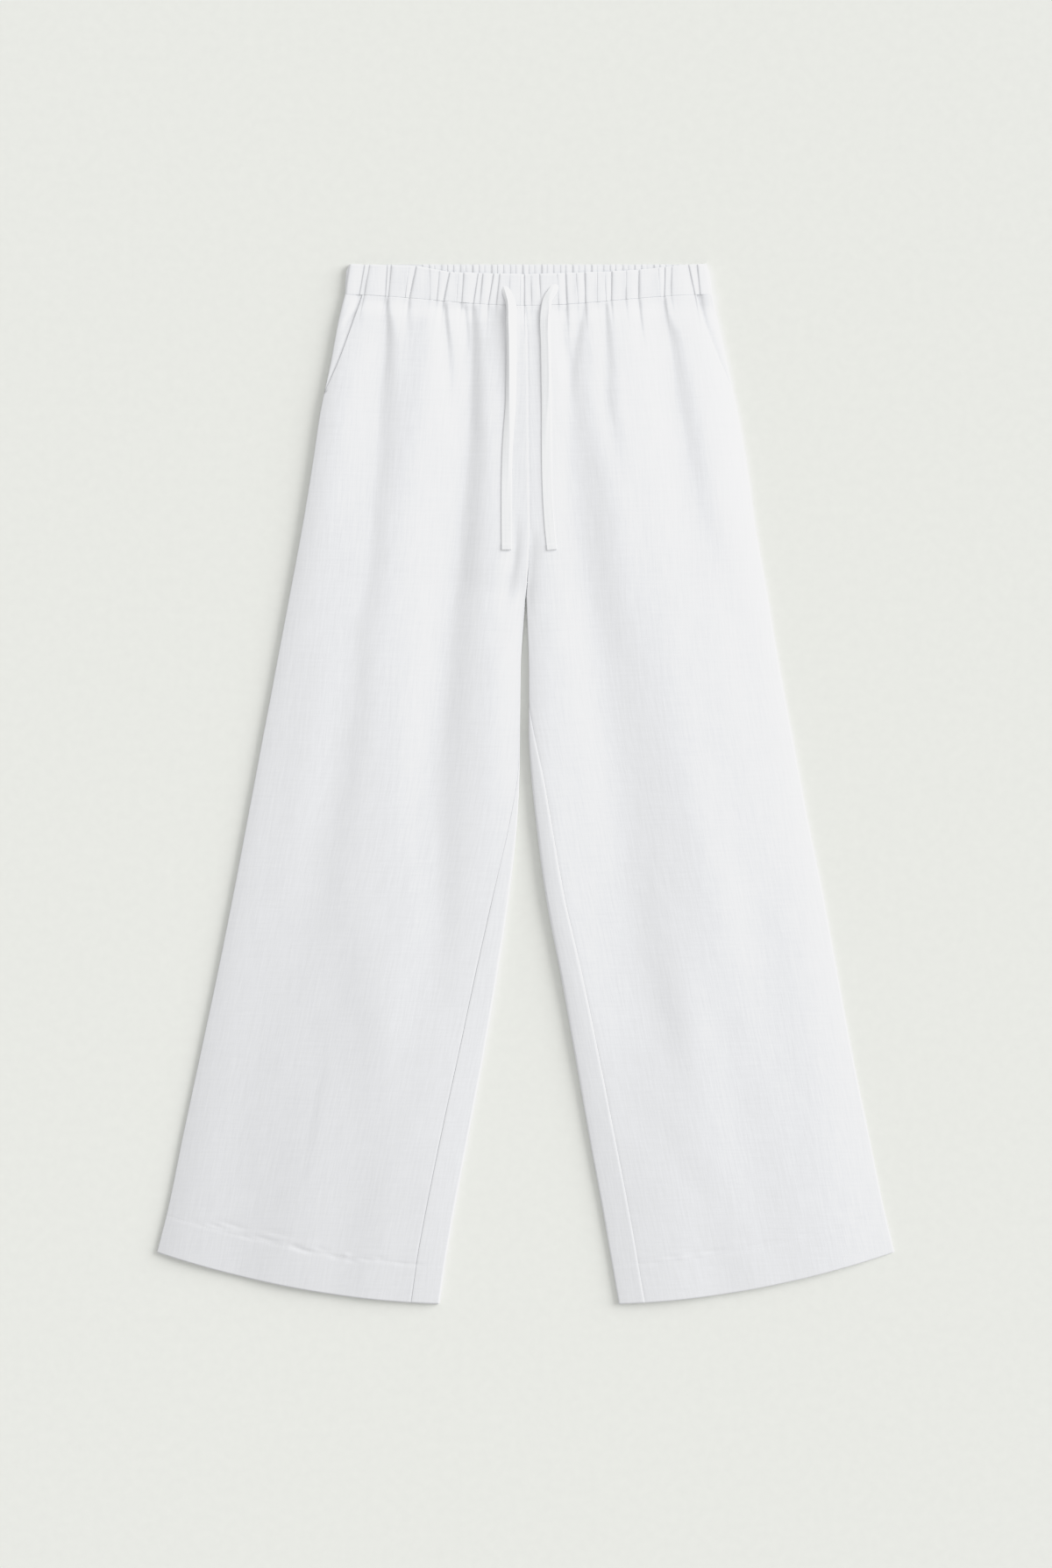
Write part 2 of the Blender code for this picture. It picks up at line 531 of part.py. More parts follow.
def tape_profile(guides):
    """The tapes' section, a flat strip with its corners taken off."""
    data = bpy.data.curves.new("tape_section", "CURVE")
    data.dimensions = "2D"
    half, low = TAPE_WIDTH / 2, TAPE_THICKNESS / 2
    corners = [(half - TAPE_CORNER, low), (half, low - TAPE_CORNER)]
    corners += [(x, -y) for x, y in corners[::-1]]
    corners += [(-x, y) for x, y in corners[::-1]]
    spline = data.splines.new("POLY")
    spline.points.add(len(corners) - 1)
    for point, corner in zip(spline.points, corners):
        point.co = (*corner, 0, 1)
    spline.use_cyclic_u = True
    guide = bpy.data.objects.new("tape_section", data)
    guide.hide_render = True
    guide.display_type = "WIRE"
    guides.objects.link(guide)
    return guide


def resting_height(x, y, trees):
    """The highest cloth under a tape's width and the stretch around one of its points."""
    highest = 0.0
    for across in np.linspace(-TAPE_WIDTH / 2, TAPE_WIDTH / 2, 9):
        for along in np.linspace(-TAPE_REACH, TAPE_REACH, 7):
            start = Vector((x + across, y + along, HIGH_ABOVE))
            for tree in trees:
                hit = tree.ray_cast(start, Vector((0, 0, -1)))[0]
                if hit is not None:
                    highest = max(highest, hit.z)
    return highest


def tape(name, route, trees, profile, material, collection):
    """A free end of the drawstring, laid over the cloth under it."""
    corners = np.array(route, float) * MM
    lengths = distances(np.column_stack([corners, np.zeros(len(corners))]))
    count = round(lengths[-1] / TAPE_STEP) + 1
    at = np.linspace(0, lengths[-1], count)
    down = curve_through(lengths, corners[:, 0], at)
    x = curve_through(lengths, corners[:, 1], at)
    y = height_on_cloth(down)
    z = np.array([resting_height(px, py, trees) for px, py in zip(x, y)])
    z = z + TAPE_CLEARANCE + TAPE_THICKNESS / 2
    for _ in range(2):
        padded = np.pad(z, 1, mode="edge")
        z = np.maximum(z, (padded[:-2] + padded[1:-1] + padded[2:]) / 3)
    data = bpy.data.curves.new(name, "CURVE")
    data.dimensions = "3D"
    data.twist_mode = "Z_UP"
    data.bevel_mode = "OBJECT"
    data.bevel_object = profile
    data.use_fill_caps = True
    spline = data.splines.new("POLY")
    spline.points.add(count - 1)
    for point, place in zip(spline.points, zip(x, y, z)):
        point.co = (*place, 1)
    add_object(name, data, material, collection)


def main():
    for thing in list(bpy.data.objects):
        bpy.data.objects.remove(thing)
    collection = bpy.data.collections.new("linen_drawstring_trousers")
    guides = bpy.data.collections.new("guides")
    bpy.context.scene.collection.children.link(collection)
    bpy.context.scene.collection.children.link(guides)
    cloth = linen("linen", LINEN)
    band_cloth = linen("linen_band", LINEN_BAND)
    pocket_cloth = linen("linen_pocket", POCKET_LINEN)
    tape_cloth = linen("linen_tape", LINEN_TAPE)
    rows = [(down * MM - WAIST_SEAM_CENTRE) / (HEM_INSEAM - WAIST_SEAM_CENTRE) for down in ROW_DOWNS]
    for leg in (Leg("right", RIGHT_LEG), Leg("left", LEFT_LEG)):
        side_rows = [max(v, BELOW_BAND) for v in rows if leg.mouth_in(v) > MM]
        pieces = (
            ("leg_front_", leg.front_row, rows, cloth),
            ("leg_back_", leg.back_row, rows, cloth),
            ("pocket_side_", leg.side_piece_row, side_rows, pocket_cloth),
        )
        for name, row_at, places, material in pieces:
            outer, inner = zip(*[row_at(v) for v in places])
            closed_wall(name + leg.name, outer, inner, material, collection)
    front_band(collection, band_cloth)
    back_band(collection, band_cloth)
    profile = tape_profile(guides)
    graph = bpy.context.evaluated_depsgraph_get()
    trees = [BVHTree.FromObject(thing, graph) for thing in collection.objects]
    for name, route in TAPES.items():
        tape("drawstring_" + name, route, trees, profile, tape_cloth, collection)


main()
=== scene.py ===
"""Linen drawstring trousers laid flat: cloth, sewing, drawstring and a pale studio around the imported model.

X runs across with the wearer's right at -X, Y runs up to the waist, and Z up from the surface. Rows of
the tables are in millimetres, "down" is measured from the waist, and every other size is in metres.
"""
import math
from collections import namedtuple
from functools import partial

import bmesh
import bpy
import numpy as np
from bpy.props import FloatProperty, FloatVectorProperty, PointerProperty
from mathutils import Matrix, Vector
from mathutils.bvhtree import BVHTree


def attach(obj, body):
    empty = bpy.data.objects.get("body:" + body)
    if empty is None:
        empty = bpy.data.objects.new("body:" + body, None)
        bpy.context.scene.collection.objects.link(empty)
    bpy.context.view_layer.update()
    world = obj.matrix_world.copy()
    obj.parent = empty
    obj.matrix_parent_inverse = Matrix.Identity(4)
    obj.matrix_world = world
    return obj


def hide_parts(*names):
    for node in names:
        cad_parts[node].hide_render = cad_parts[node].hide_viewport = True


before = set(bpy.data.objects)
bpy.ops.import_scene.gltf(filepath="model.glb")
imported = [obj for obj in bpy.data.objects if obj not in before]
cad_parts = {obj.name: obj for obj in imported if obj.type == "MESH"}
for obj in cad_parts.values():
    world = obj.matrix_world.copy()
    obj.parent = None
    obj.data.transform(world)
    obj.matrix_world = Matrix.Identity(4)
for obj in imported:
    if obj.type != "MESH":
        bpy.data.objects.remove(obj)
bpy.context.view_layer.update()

bl_info = {
    "name": "Linen Drawstring Trousers",
    "version": (1, 0, 0),
    "blender": (4, 5, 0),
    "location": "3D View > Sidebar > Trousers",
    "description": "Lays a pair of wide linen drawstring trousers flat in a pale studio",
    "category": "Object",
}

BODY = "root"
MM = 0.001

# Points of a path that lie nearer than this to a cut are left out.
NEAR = 1e-7

# The waist seam, the crotch and the hem, as distances down from the back band's top edge.
LENGTH = 1.0492
WAIST_SEAM_SIDE = 0.0305
WAIST_SEAM_CENTRE = 0.0415
CROTCH = 0.3372
HEM_SIDE = 0.9969
HEM_INSEAM = 1.0492
HEM_SAG = 0.0104
HEM_TURN_UP = 0.041
LEG_LENGTH = HEM_INSEAM - WAIST_SEAM_CENTRE
HEM_SHARE = HEM_TURN_UP / LEG_LENGTH
TURN_UP_FADE = 0.002
HALF_WAIST = 0.190
WAIST_CURVE_FADE = 0.08

# How the cloth leaves the waistband and closes into two legs, and the small gaps between pieces.
CLOSING_LENGTH = 0.030
PUFF_BELOW_BAND = 0.020
BAND_FOLD = 0.00245
BAND_GAP = 0.0003
BAND_HEIGHT_AT_SEAM = 2 * BAND_FOLD + BAND_GAP
SEAM_PUFF = 0.0006
TOP_HEIGHT = BAND_HEIGHT_AT_SEAM + SEAM_PUFF
SWELL_AT_SEAM = 0.8
FINE_GAP = 0.00004
WAIST_GAP = 0.0001
CREASE_START = 0.25
CREASE_START_LENGTH = 0.008
POCKET_UNDERLAP = 0.012
POCKET_UNDER_GAP = 0.0001
GAPE_FADE = 0.06

# How finely the cloth is lofted, and how far apart the rows and columns of its hidden inside are.
FRONT_COLUMNS = 240
BACK_COLUMNS = 120
SIDE_COLUMNS = 40
INSIDE_STEP = 4
END_WORTH = 0.020
END_REACH = 0.004
FOLD_WORTH = 0.010
FOLD_REACH = 0.003
FOLD_RIM = 0.0005
FOLD_STEPS = 28
FLAT_STEPS = 300

Section = namedtuple("Section", "down outer inner outer_rise mid_rise inner_rise inseam_in")
Gather = namedtuple("Gather", "top bottom strength")
Mouth = namedtuple("Mouth", "top_in end bow gape dive")
Fall = namedtuple("Fall", "share reach")
Inseam = namedtuple("Inseam", "shows_from front_roll back_roll step")
EdgePoint = namedtuple("EdgePoint", "x dip")
BandEdge = namedtuple("BandEdge", "down right left")
Dent = namedtuple("Dent", "x offset half_length depth")
TapeSection = namedtuple("TapeSection", "along width crest_at crest ridge sink")
Streak = namedtuple("Streak", "across along weight")


def rows_of(kind, table):
    """A table's rows with their columns named."""
    return tuple(kind(*row) for row in table)


# outer and inner are the leg's two folded edges; the rises are the front's height beside its outer
# edge, at its middle and at its inner edge; inseam_in is how far round the fold and onto the front
# the inseam lies from the very edge. The outseam lies on the outer edge.
RIGHT_LEG = rows_of(Section, (
    (30, -182.5, 0, 7, 5.6, 5.2, 0), (50, -187.4, 0, 8.4, 7.6, 6.8, 0), (100, -196.9, 0, 9, 8.4, 7.4, 0),
    (150, -207.3, 0, 9, 8.6, 7.4, 0), (200, -214.8, 0, 8.9, 8.6, 7.4, 0),
    (260, -224.6, 0, 8.7, 8.5, 7.3, 0), (337, -238.8, -0.2, 8.2, 8.3, 7.4, 0),
    (400, -250.7, -4.7, 7.6, 8, 7.8, 0.6), (440, -258.2, -5.3, 7.2, 7.8, 7.9, 1),
    (480, -265.8, -5.7, 6.8, 7.6, 8, 1.8), (520, -273.3, -6.3, 6.4, 7.4, 7.9, 4),
    (560, -280.8, -8.4, 6.1, 7.2, 7.8, 9), (640, -296, -17.3, 5.7, 6.9, 7.4, 18),
    (720, -312, -29.3, 5.4, 6.6, 7.2, 23.5), (800, -329, -42.9, 5.2, 6.2, 7, 26.5),
    (880, -346.1, -58, 5, 5.9, 6.8, 28.5), (960, -362.7, -73.1, 4.9, 5.6, 6.6, 29.5),
    (997, -372.1, -79.5, 4.8, 5.5, 6.5, 30), (1050, -384, -87.3, 4.8, 5.4, 6.4, 30),
))
LEFT_LEG = rows_of(Section, (
    (30, 188.2, 0, 7, 5.6, 5.2, 0), (50, 192.2, 0, 8.2, 7.6, 6.8, 0), (100, 203.1, 0, 8.7, 8.6, 7.4, 0),
    (150, 213.7, 0, 8.5, 8.8, 7.4, 0), (200, 222.6, 0, 8.3, 8.9, 7.4, 0), (260, 230.9, 0, 8, 8.9, 7.3, 0),
    (337, 244.3, 0.9, 7.6, 8.7, 7.4, 0), (400, 254.7, 3.1, 7.2, 8.5, 8.2, 1),
    (440, 262, 3.3, 6.9, 8.3, 8.5, 3.2), (480, 269.4, 3.3, 6.7, 8.1, 8.8, 10),
    (520, 276.8, 6, 6.4, 7.9, 8.8, 16), (560, 284.3, 10.1, 6.2, 7.7, 8.8, 19),
    (640, 300.5, 20.6, 5.8, 7.3, 8.4, 22.5), (720, 315.1, 35.8, 5.5, 6.9, 7.8, 25),
    (800, 330, 49.9, 5.2, 6.4, 7.2, 26.7), (880, 346.5, 64, 5, 5.9, 6.6, 27.6),
    (960, 363, 78.6, 4.9, 5.5, 6, 28), (997, 372.1, 85, 4.8, 5.3, 5.7, 28),
    (1050, 384, 94.2, 4.8, 5.1, 5.5, 28),
))
CENTRE_SEAM = ((30, -1.3), (70, 1.8), (100, 2.2), (200, 3.1), (286, 3.6), (337, 0.5))

# Creases of the fronts, each a path of (down, x, depth, reach towards -X, reach towards +X). One with a
# depth below 0 is a ridge.
CREASES = {
    "right": (
        ((20, -141.4, 1, 12, 2), (45, -141, 1.5, 20, 3), (69, -141.5, 2.6, 26, 6),
         (104, -144.5, 2.8, 26, 9), (140, -148.5, 2.9, 26, 13), (186, -151, 2.7, 27, 14),
         (264, -158, 2.4, 29, 14), (308, -161, 2.3, 30, 15), (352, -171, 2.2, 28, 18),
         (441, -176, 1.8, 29, 17), (529, -188, 1.8, 26, 20), (618, -203, 1.2, 26, 22),
         (750, -236, 0.5, 24, 24), (830, -250, 0, 24, 24)),
        ((790, -201, 0, 9, 5), (835, -211, 0.3, 9, 5), (891, -220, 0.2, 9, 5), (940, -228, 0, 9, 5)),
        ((20, -117.3, 0.8, 8, 2), (56, -119, 0.5, 8, 3), (80, -119, 0, 8, 4)),
        ((20, -83, 1.4, 9, 2), (56, -81.5, 1.6, 12, 3), (87, -79, 1.3, 14, 4.5), (130, -78, 0.5, 14, 7),
         (160, -77, 0, 14, 8)),
        ((20, -64, 0.9, 6, 2.2), (68, -60, 0.7, 6, 3), (95, -59, 0, 6, 4)),
        ((20, -52.6, 0.9, 10, 2), (45, -54, 1.4, 18, 3.5), (69, -54.5, 2.2, 24, 6),
         (104, -55.5, 2.8, 27, 8), (140, -57, 3.4, 30, 10), (186, -59.5, 4, 33, 14),
         (228, -64, 4.6, 35, 17), (308, -70.5, 5.2, 36, 18), (352, -76, 4.8, 36, 21),
         (441, -84, 4.2, 36, 22), (529, -91, 3.3, 35, 24), (618, -90, 2.4, 34, 22), (700, -90, 1.2, 34, 22),
         (790, -92, 0, 34, 22)),
        ((20, -37.6, 0.6, 5, 2), (60, -36, 0.3, 5, 4), (80, -35, 0, 5, 5)),
        ((28, -16.5, 0, 7, 6), (40, -16, -1.2, 7, 6), (90, -15.5, -1.1, 7, 6), (125, -16, -0.5, 6, 6),
         (160, -17, 0, 6, 6)),
        ((250, -9, 0, 7, 5), (278, -10, 1, 8, 5), (302, -12, 1.4, 9, 5), (325, -17, 0.9, 10, 6),
         (360, -23, 0, 10, 7)),
        ((560, -157, 0, 28, 24), (618, -160, -0.6, 28, 26), (750, -158, -2, 28, 30),
         (820, -160, -1.4, 45, 40), (883, -175, -0.9, 60, 50), (980, -190, 0, 60, 50)),
        ((31, -163, 0.3, 4, 3), (44, -171, 0.6, 4, 3), (58, -180, 0.5, 4, 3), (75, -187, 0, 4, 3)),
    ),
    "left": (
        ((265, 7, 0, 4, 6), (290, 5, 1.2, 4, 7), (315, 3, 1.3, 4, 7), (335, 2, 0.8, 4, 6),
         (355, 2, 0, 4, 6)),
        ((28, 19, 0, 5, 5), (40, 19, -0.6, 5, 5), (100, 19, -0.6, 5, 5), (150, 20, 0, 5, 5)),
        ((20, 40.5, 0.8, 8, 2), (45, 38.5, 0.9, 9, 3.5), (69, 37.5, 1, 9, 5), (95, 40, 0.8, 9, 6),
         (120, 43, 0, 8, 6)),
        ((20, 60.4, 0.8, 8, 2), (44, 57.5, 0.9, 10, 3.5), (89, 48.5, 1.1, 9, 6), (120, 44.5, 0.6, 8, 6),
         (145, 44, 0, 8, 6)),
        ((20, 41, 0.3, 12, 9), (90, 43, 0.6, 12, 10), (140, 44.5, 1.5, 14, 12), (186, 43.5, 2, 16, 18),
         (228, 45, 2.5, 18, 26), (264, 49, 2.8, 22, 27), (308, 55, 3, 27, 29), (352, 63, 3.4, 30, 33),
         (441, 75, 3.3, 31, 38), (529, 87, 3.2, 31, 39), (618, 100.5, 2.8, 31, 32), (690, 114, 2.3, 32, 27),
         (750, 128.5, 2, 32, 24), (800, 143, 1.3, 30, 25), (850, 157, 0.6, 28, 27), (900, 168, 0, 28, 28)),
        ((830, 122, 0, 20, 20), (877, 138, 0.4, 20, 20), (912, 156, 0.5, 20, 20), (965, 190, 0, 20, 20)),
        ((20, 81.5, 1.1, 9, 2), (45, 80, 1.2, 11, 3), (69, 80.5, 1.4, 11, 5), (100, 81.5, 1.4, 11, 7),
         (142, 82, 1.4, 11, 8), (186, 89, 0.8, 12, 11), (240, 98, 0, 12, 12)),
        ((20, 113.8, 0.8, 8, 2), (68, 115, 0.4, 8, 4), (90, 117, 0, 8, 5)),
        ((20, 139.6, 1, 12, 2), (44, 139, 1.2, 16, 3), (56, 140, 1.5, 22, 5), (69, 143, 2, 26, 8),
         (104, 147.5, 2.2, 28, 11), (140, 151.5, 2.4, 28, 14), (186, 160, 2.4, 29, 16),
         (228, 166.5, 2.3, 30, 19), (264, 174, 2.1, 32, 21), (308, 186, 1.7, 36, 23),
         (352, 198, 1.4, 38, 24), (441, 222, 0.6, 36, 24), (520, 238, 0, 36, 24)),
        ((480, 172, 0, 50, 60), (618, 186, -1.3, 55, 50), (700, 174, -1.3, 40, 40),
         (750, 168, -1.4, 30, 36), (820, 166, -1.5, 40, 46), (883, 168, -1.6, 50, 50),
         (960, 172, -0.8, 50, 50), (1010, 172, 0, 50, 50)),
    ),
}
# Creases of the backs, hollows in the cloth that lies on the surface.
BACK_CREASES = {
    "right": (
        ((31, -122, 1.2, 14, 8), (140, -126, 1.6, 24, 12), (330, -136, 1.3, 30, 18),
         (560, -152, 0.5, 32, 20), (700, -160, 0, 32, 20)),
        ((31, -36, 0.9, 12, 6), (110, -34, 1.3, 18, 10), (260, -36, 1, 20, 14), (430, -48, 0, 22, 16)),
        ((31, -158, 1, 12, 6), (100, -166, 1.2, 16, 10), (240, -180, 0.6, 18, 12), (360, -190, 0, 20, 14)),
        ((560, -186, 0, 22, 16), (690, -200, 1.1, 22, 16), (820, -232, 0.9, 20, 16),
         (960, -262, 0, 20, 16)),
        ((700, -110, 0, 24, 20), (800, -118, 0.9, 24, 20), (930, -128, 0.5, 24, 20),
         (1000, -134, 0, 24, 20)),
    ),
    "left": (
        ((31, 104, 1.2, 8, 14), (130, 106, 1.6, 12, 24), (310, 118, 1.4, 18, 30), (540, 150, 0.6, 20, 34),
         (700, 164, 0, 20, 34)),
        ((31, 24, 0.8, 6, 10), (120, 20, 1.2, 9, 16), (270, 22, 0.9, 12, 18), (400, 30, 0, 12, 20)),
        ((31, 170, 1, 6, 12), (110, 180, 1.2, 10, 14), (260, 206, 0.6, 12, 16), (380, 224, 0, 12, 18)),
        ((600, 210, 0, 16, 20), (720, 226, 1, 16, 20), (850, 252, 0.9, 16, 20), (980, 276, 0, 16, 20)),
        ((660, 98, 0, 20, 24), (780, 116, 1, 20, 24), (900, 134, 0.6, 20, 24), (1000, 146, 0, 20, 24)),
    ),
}

# The front band's gathers, each a groove from its top edge to the waist seam.
GATHERS = rows_of(Gather, (
    (-162.4, -167.7, 1), (-157.1, -162.4, 0.5), (-139.4, -141.4, 1), (-135.3, -137.8, 0.5),
    (-118.4, -121.6, 0.5), (-110.3, -117.3, 1), (-96.9, -96.9, 0.5), (-87.2, -89.3, 0.5), (-76.6, -82.7, 1),
    (-68.4, -70, 0.4), (-62.4, -64.2, 0.6), (-47.9, -52.6, 1), (-43, -46, 0.5), (-32.3, -37.6, 1),
    (-26.1, -29.4, 0.6), (-16, -16, 0.3), (-5.9, -6.1, 0.4), (-1.3, -1.3, 1), (5.8, 6.2, 0.3),
    (14.2, 15.5, 0.5), (31.4, 33.2, 0.5), (40.3, 41.8, 1), (50.9, 52.5, 0.5), (59.7, 60.4, 1),
    (72.1, 72.1, 0.5), (80.1, 80.9, 0.5), (86.9, 86.4, 1), (101.3, 101.3, 0.5), (114.3, 114, 1),
    (133.6, 135.4, 0.5), (140.6, 139.9, 1), (147.4, 147.4, 0.4), (164.2, 170.8, 1), (173, 176, 0.8),
))
FOLDED_GATHERS = (Gather(-177.6, -182.2, 0.9), *GATHERS, Gather(181.8, 187.9, 0.9))
FRONT_BAND_TOP = rows_of(EdgePoint, (
    (-183, 0), (-140, 0.9), (-110, 1.9), (-77, 8.1), (-46, 9.1), (0, 10.2), (82, 7.7), (115, 5.7),
    (136, 3.4), (163, 0.5), (186, 0),
))
LEVEL_TOP = (EdgePoint(-200, 0), EdgePoint(200, 0))
BAND_EDGES = rows_of(BandEdge, ((0, -177.8, 182), (7, -181.2, 184.6), (30.5, -182.5, 188.2)))
BAND_WALL = 0.0014
BAND_FOLD_COLUMNS = 14
BAND_ROWS = 44
INSIDE_GATHERS_FROM = -0.104
INSIDE_GATHERS_TO = 0.164
INSIDE_GATHER_PITCH = 0.0063
INSIDE_GATHER_DRIFT = 0.0008
INSIDE_GATHER_RISE = 0.0004
INSIDE_STRIP_SHARE = 0.34
UNDER_GATHER_DEPTH = 0.0008
UNDER_GATHER_REACH = 0.0011
BAND_CUT_HEIGHT = 0.036

# Shares of the band's height over which its edges are rounded and its relief fades.
TOP_ROUND = 0.06
WALL_ROUND = 0.05
SEAM_ROUND = 0.03
SCALLOP_FADE = 0.2
STRIP_FADE = 0.2

# The top edges' scallops as shares of the gathers' height, and the steep share of an inside gather.
FRONT_SCALLOP = 0.3
BACK_SCALLOP = 0.35
LAP_SHARE = 0.25
# A pleat's gentle side is this share of an easing curve, divided by about its height there.
EASED_SHARE = 0.8
EASED_HEIGHT = 0.9

# Turns of the sines that stand in for chance, in radians a gather, and what two of them turn down the band.
PUFF_TURN = 1.9
PUFF_TURN_DOWN = 5
FADE_TURN = 2.7
FADE_TURN_DOWN = 4
DRIFT_TURN = 2.4
RISE_TURN = 1.7
UNDER_TURN = 3.1
LENGTH_TURN = 2.1

# How much those sines change the puffs, the weakest grooves and the gathers inside.
PUFF_CHANGE = 0.12
FADE_MOST = 0.9
INSIDE_RISE_CHANGE = 0.25

# The grooves that lie down: millimetres sideways by chance and down the band, and the depth of a weak one.
UNDER_GATHER_DRIFT = 4
UNDER_GATHER_SLANT = 2
WEAK_GROOVE = 0.4

# What is left of the band's wall at its rounded top edge, in front and behind.
FRONT_RIM = 0.35
BACK_RIM = 0.45

# Columns: the fewest between two gathers, those of a gather inside, and those beside the gathers inside.
LEAST_COLUMNS = 10
INSIDE_GATHER_COLUMNS = 12
COLUMNS_BEFORE_GATHERS = 60
COLUMNS_AFTER_GATHERS = 24

# Each pocket mouth: how far in it starts, where it ends, how it bows, how far it gapes, and how steeply
# the cloth under it may go down, as a share of its distance from the outseam.
POCKET_MOUTHS = {"right": Mouth(18, 131, 1.4, 0.05, 0.15), "left": Mouth(16, 128, 1.6, 1.4, 0.1)}

# How far the fronts fall towards their folded edges, as a share of their height, and how far in, in
# metres.
OUTER_FALL = {"right": Fall(0.30, 0.010), "left": Fall(0.66, 0.030)}
INNER_FALL = {"right": Fall(0.50, 0.036), "left": Fall(0.24, 0.009)}

# How each inseam shows: from how many millimetres down, and its rolls and step as shares of the
# other seams'.
INSEAMS = {"right": Inseam(600, 0.75, 0.75, 0.8), "left": Inseam(400, 0.5, 2.2, 2.0)}
INSEAM_FADE = 0.06
PRESS_FADE = 0.012
PRESS_REACH = 0.006

# Dents along the hems' stitching, at x and an offset below the turn-up's edge. Their half height is in
# millimetres too.
HEM_DENTS = {
    "right": rows_of(Dent, (
        (-332, 0, 8, 0.2), (-312, -2, 9, 0.45), (-296, -7, 13, 0.5), (-282, 1, 7, 0.3), (-262, -1, 12, 0.6),
        (-250, -9, 15, 0.35), (-233, 0, 7, 0.65), (-222, 2.5, 9, 0.7), (-206, -2, 6, 0.3),
        (-192, 4, 6, 0.5), (-181, 0.5, 4, -0.5), (-176, 5, 6, 0.5), (-160, 2, 9, 0.35), (-146, 0, 6, 0.45),
        (-126, 2.5, 9, 0.4), (-108, 3, 7, 0.3),
    )),
    "left": rows_of(Dent, (
        (112, 0.5, 8, 0.25), (131, 2, 6, 0.2), (147, -3, 8, 0.35), (158, 0, 6, -0.4), (167, -5, 8, 0.3),
        (178, -1, 6, -0.3), (190, -3, 12, 0.4), (214, 0, 10, 0.25), (236, -2, 14, 0.35), (262, 1, 10, 0.2),
        (283, -2, 12, 0.3), (312, 0, 9, 0.25), (334, -2, 7, 0.3),
    )),
}
DENT_HALF_HEIGHT = 2.2
DENTS_WITHIN = 0.03

# The tapes' middle lines over the band and the fronts, as (down, x), and how each lies along it:
# its width, where its crest lies from one side to the other, the crest's height, that of the ridge
# along its left side, and how far its start is sunk between two gathers.
TAPES = {
    "right": ((21, -22.8), (28, -19.6), (38, -15.6), (62, -14.6), (87, -14.3), (118, -14.7), (145, -15.5),
              (166, -17.2), (193, -18.7), (228, -19.4), (264, -19.4), (288.5, -19.1)),
    "left": ((18, 31.2), (26.6, 27.4), (35.4, 22.2), (46, 20.3), (87, 20.4), (139, 21.1), (186, 21.1),
             (225, 21.8), (242, 22.6), (266, 24.3), (288.5, 26.6)),
}
TAPE_LAY = {
    "right": rows_of(TapeSection, (
        (0, 4.5, 0.5, 0.2, 0, 1.4), (7, 8, 0.42, 1.2, 0, 0.3), (18, 9.8, 0.25, 2.9, 0, 0),
        (50, 10.2, 0.25, 2.8, 0, 0), (90, 10.2, 0.3, 2.1, 0, 0), (130, 10.2, 0.45, 1.3, 0, 0),
        (150, 10.2, 0.65, 1, 0, 0), (175, 10.2, 0.7, 0.7, 0, 0), (205, 10.2, 0.7, 0.15, 0, 0),
        (262, 10.2, 0.7, 0.05, 0, 0), (280, 10.3, 0.7, 0.05, 0, 0),
    )),
    "left": rows_of(TapeSection, (
        (0, 4.5, 0.5, 0.2, 0, 1.4), (8, 8.5, 0.4, 0.5, 0, 0.3), (22, 9.6, 0.75, 1, 0.3, 0),
        (60, 10, 0.75, 0.9, 0.4, 0), (120, 10, 0.7, 0.7, 0.3, 0), (150, 10, 0.5, 0.35, 0.1, 0),
        (175, 10, 0.5, 0.1, 0, 0), (262, 10.2, 0.5, 0.05, 0, 0), (285, 10.3, 0.5, 0.05, 0, 0),
    )),
}
TAPE_RING_STEP = 0.0014
TAPE_SIDE_POINTS = 25
TAPE_REACH = 0.003
TAPE_END_FOLD = 0.007
TAPE_CLEARANCE = 0.00012
TAPE_SMOOTHINGS = 10

# Shares of a tape's width: its rounded edge, and its ridge's place and width.
TAPE_EDGE = 0.07
RIDGE_AT = 0.93
RIDGE_WIDTH = 0.17

# A tape's edge above and below as shares of its thickness, how its crest is curved and how much of that
# shows below, and the points across it that look for the cloth under it.
TAPE_RIM = 0.35
TAPE_RIM_BELOW = 0.3
CREST_POWER = 0.85
CREST_BELOW = 0.6
POINTS_ACROSS = 9

# Rays start above all cloth. The longest pleat ends this far below the waist seam.
HIGH_ABOVE = 0.1
LONGEST_PLEAT = 0.06
PLEAT_FADE = 1.5
UNDER_PLEAT_SHARE = 0.5
WAVE_SEED = 7
WAVE_COUNT = 12
WAVES_ACROSS = (0.040, 0.130)
WAVES_ALONG = (0.40, 1.60)
WAVE_SPAN = 0.26

# A pleat's length in millimetres: the least, more for its gather's strength, and how much it varies.
PLEAT_LENGTH = 16
LENGTH_FOR_STRENGTH = 30
LENGTH_CHANGE = 9

# The camera's middle, what it shows and how far it sees, the surface, the cloth's painted shade and its
# shine.
CAMERA_X = 0.0004
CAMERA_Y = 0.0002
VIEW_HEIGHT = 1.5833
SENSOR = 36.0
FLOOR_SIZE = 8.0
FLOOR_Z = -0.0002
SIGHT = 50
# Painted shade: the cloth's colour is scaled by this middle plus this slope times its place, brighter towards
# the upper right and darker towards the lower left and the hems, standing in for the window light's falloff.
PAINTED_FALLOFF_MIDDLE = 0.958
PAINTED_FALLOFF_SLOPE = (0.12, 0.10, 0)
SPECULAR = 0.1
SHEEN = 0.02
ROUGHNESS = 0.8
ROUGHNESS_CHANGE = 0.08

# The linen's threads and slubs, as noise drawn out along them: how many a metre and how strong.
STREAKS = rows_of(Streak, ((1800, 60, 0.42), (60, 1800, 0.22), (420, 28, 0.68), (28, 420, 0.38)))
RUMPLE_SCALE = 38
RUMPLE_SHARE = 1.5
WEAVE_SHARE = 0.12
UNEVENNESS = 0.12
THREAD_HEIGHT = 0.00006

# How the brightest light is held back, as (light, light shown): unchanged up to the second point.
SHOULDER = ((0.5, 0.5), (0.8, 0.8), (0.86, 0.857), (0.93, 0.888), (1, 0.905))

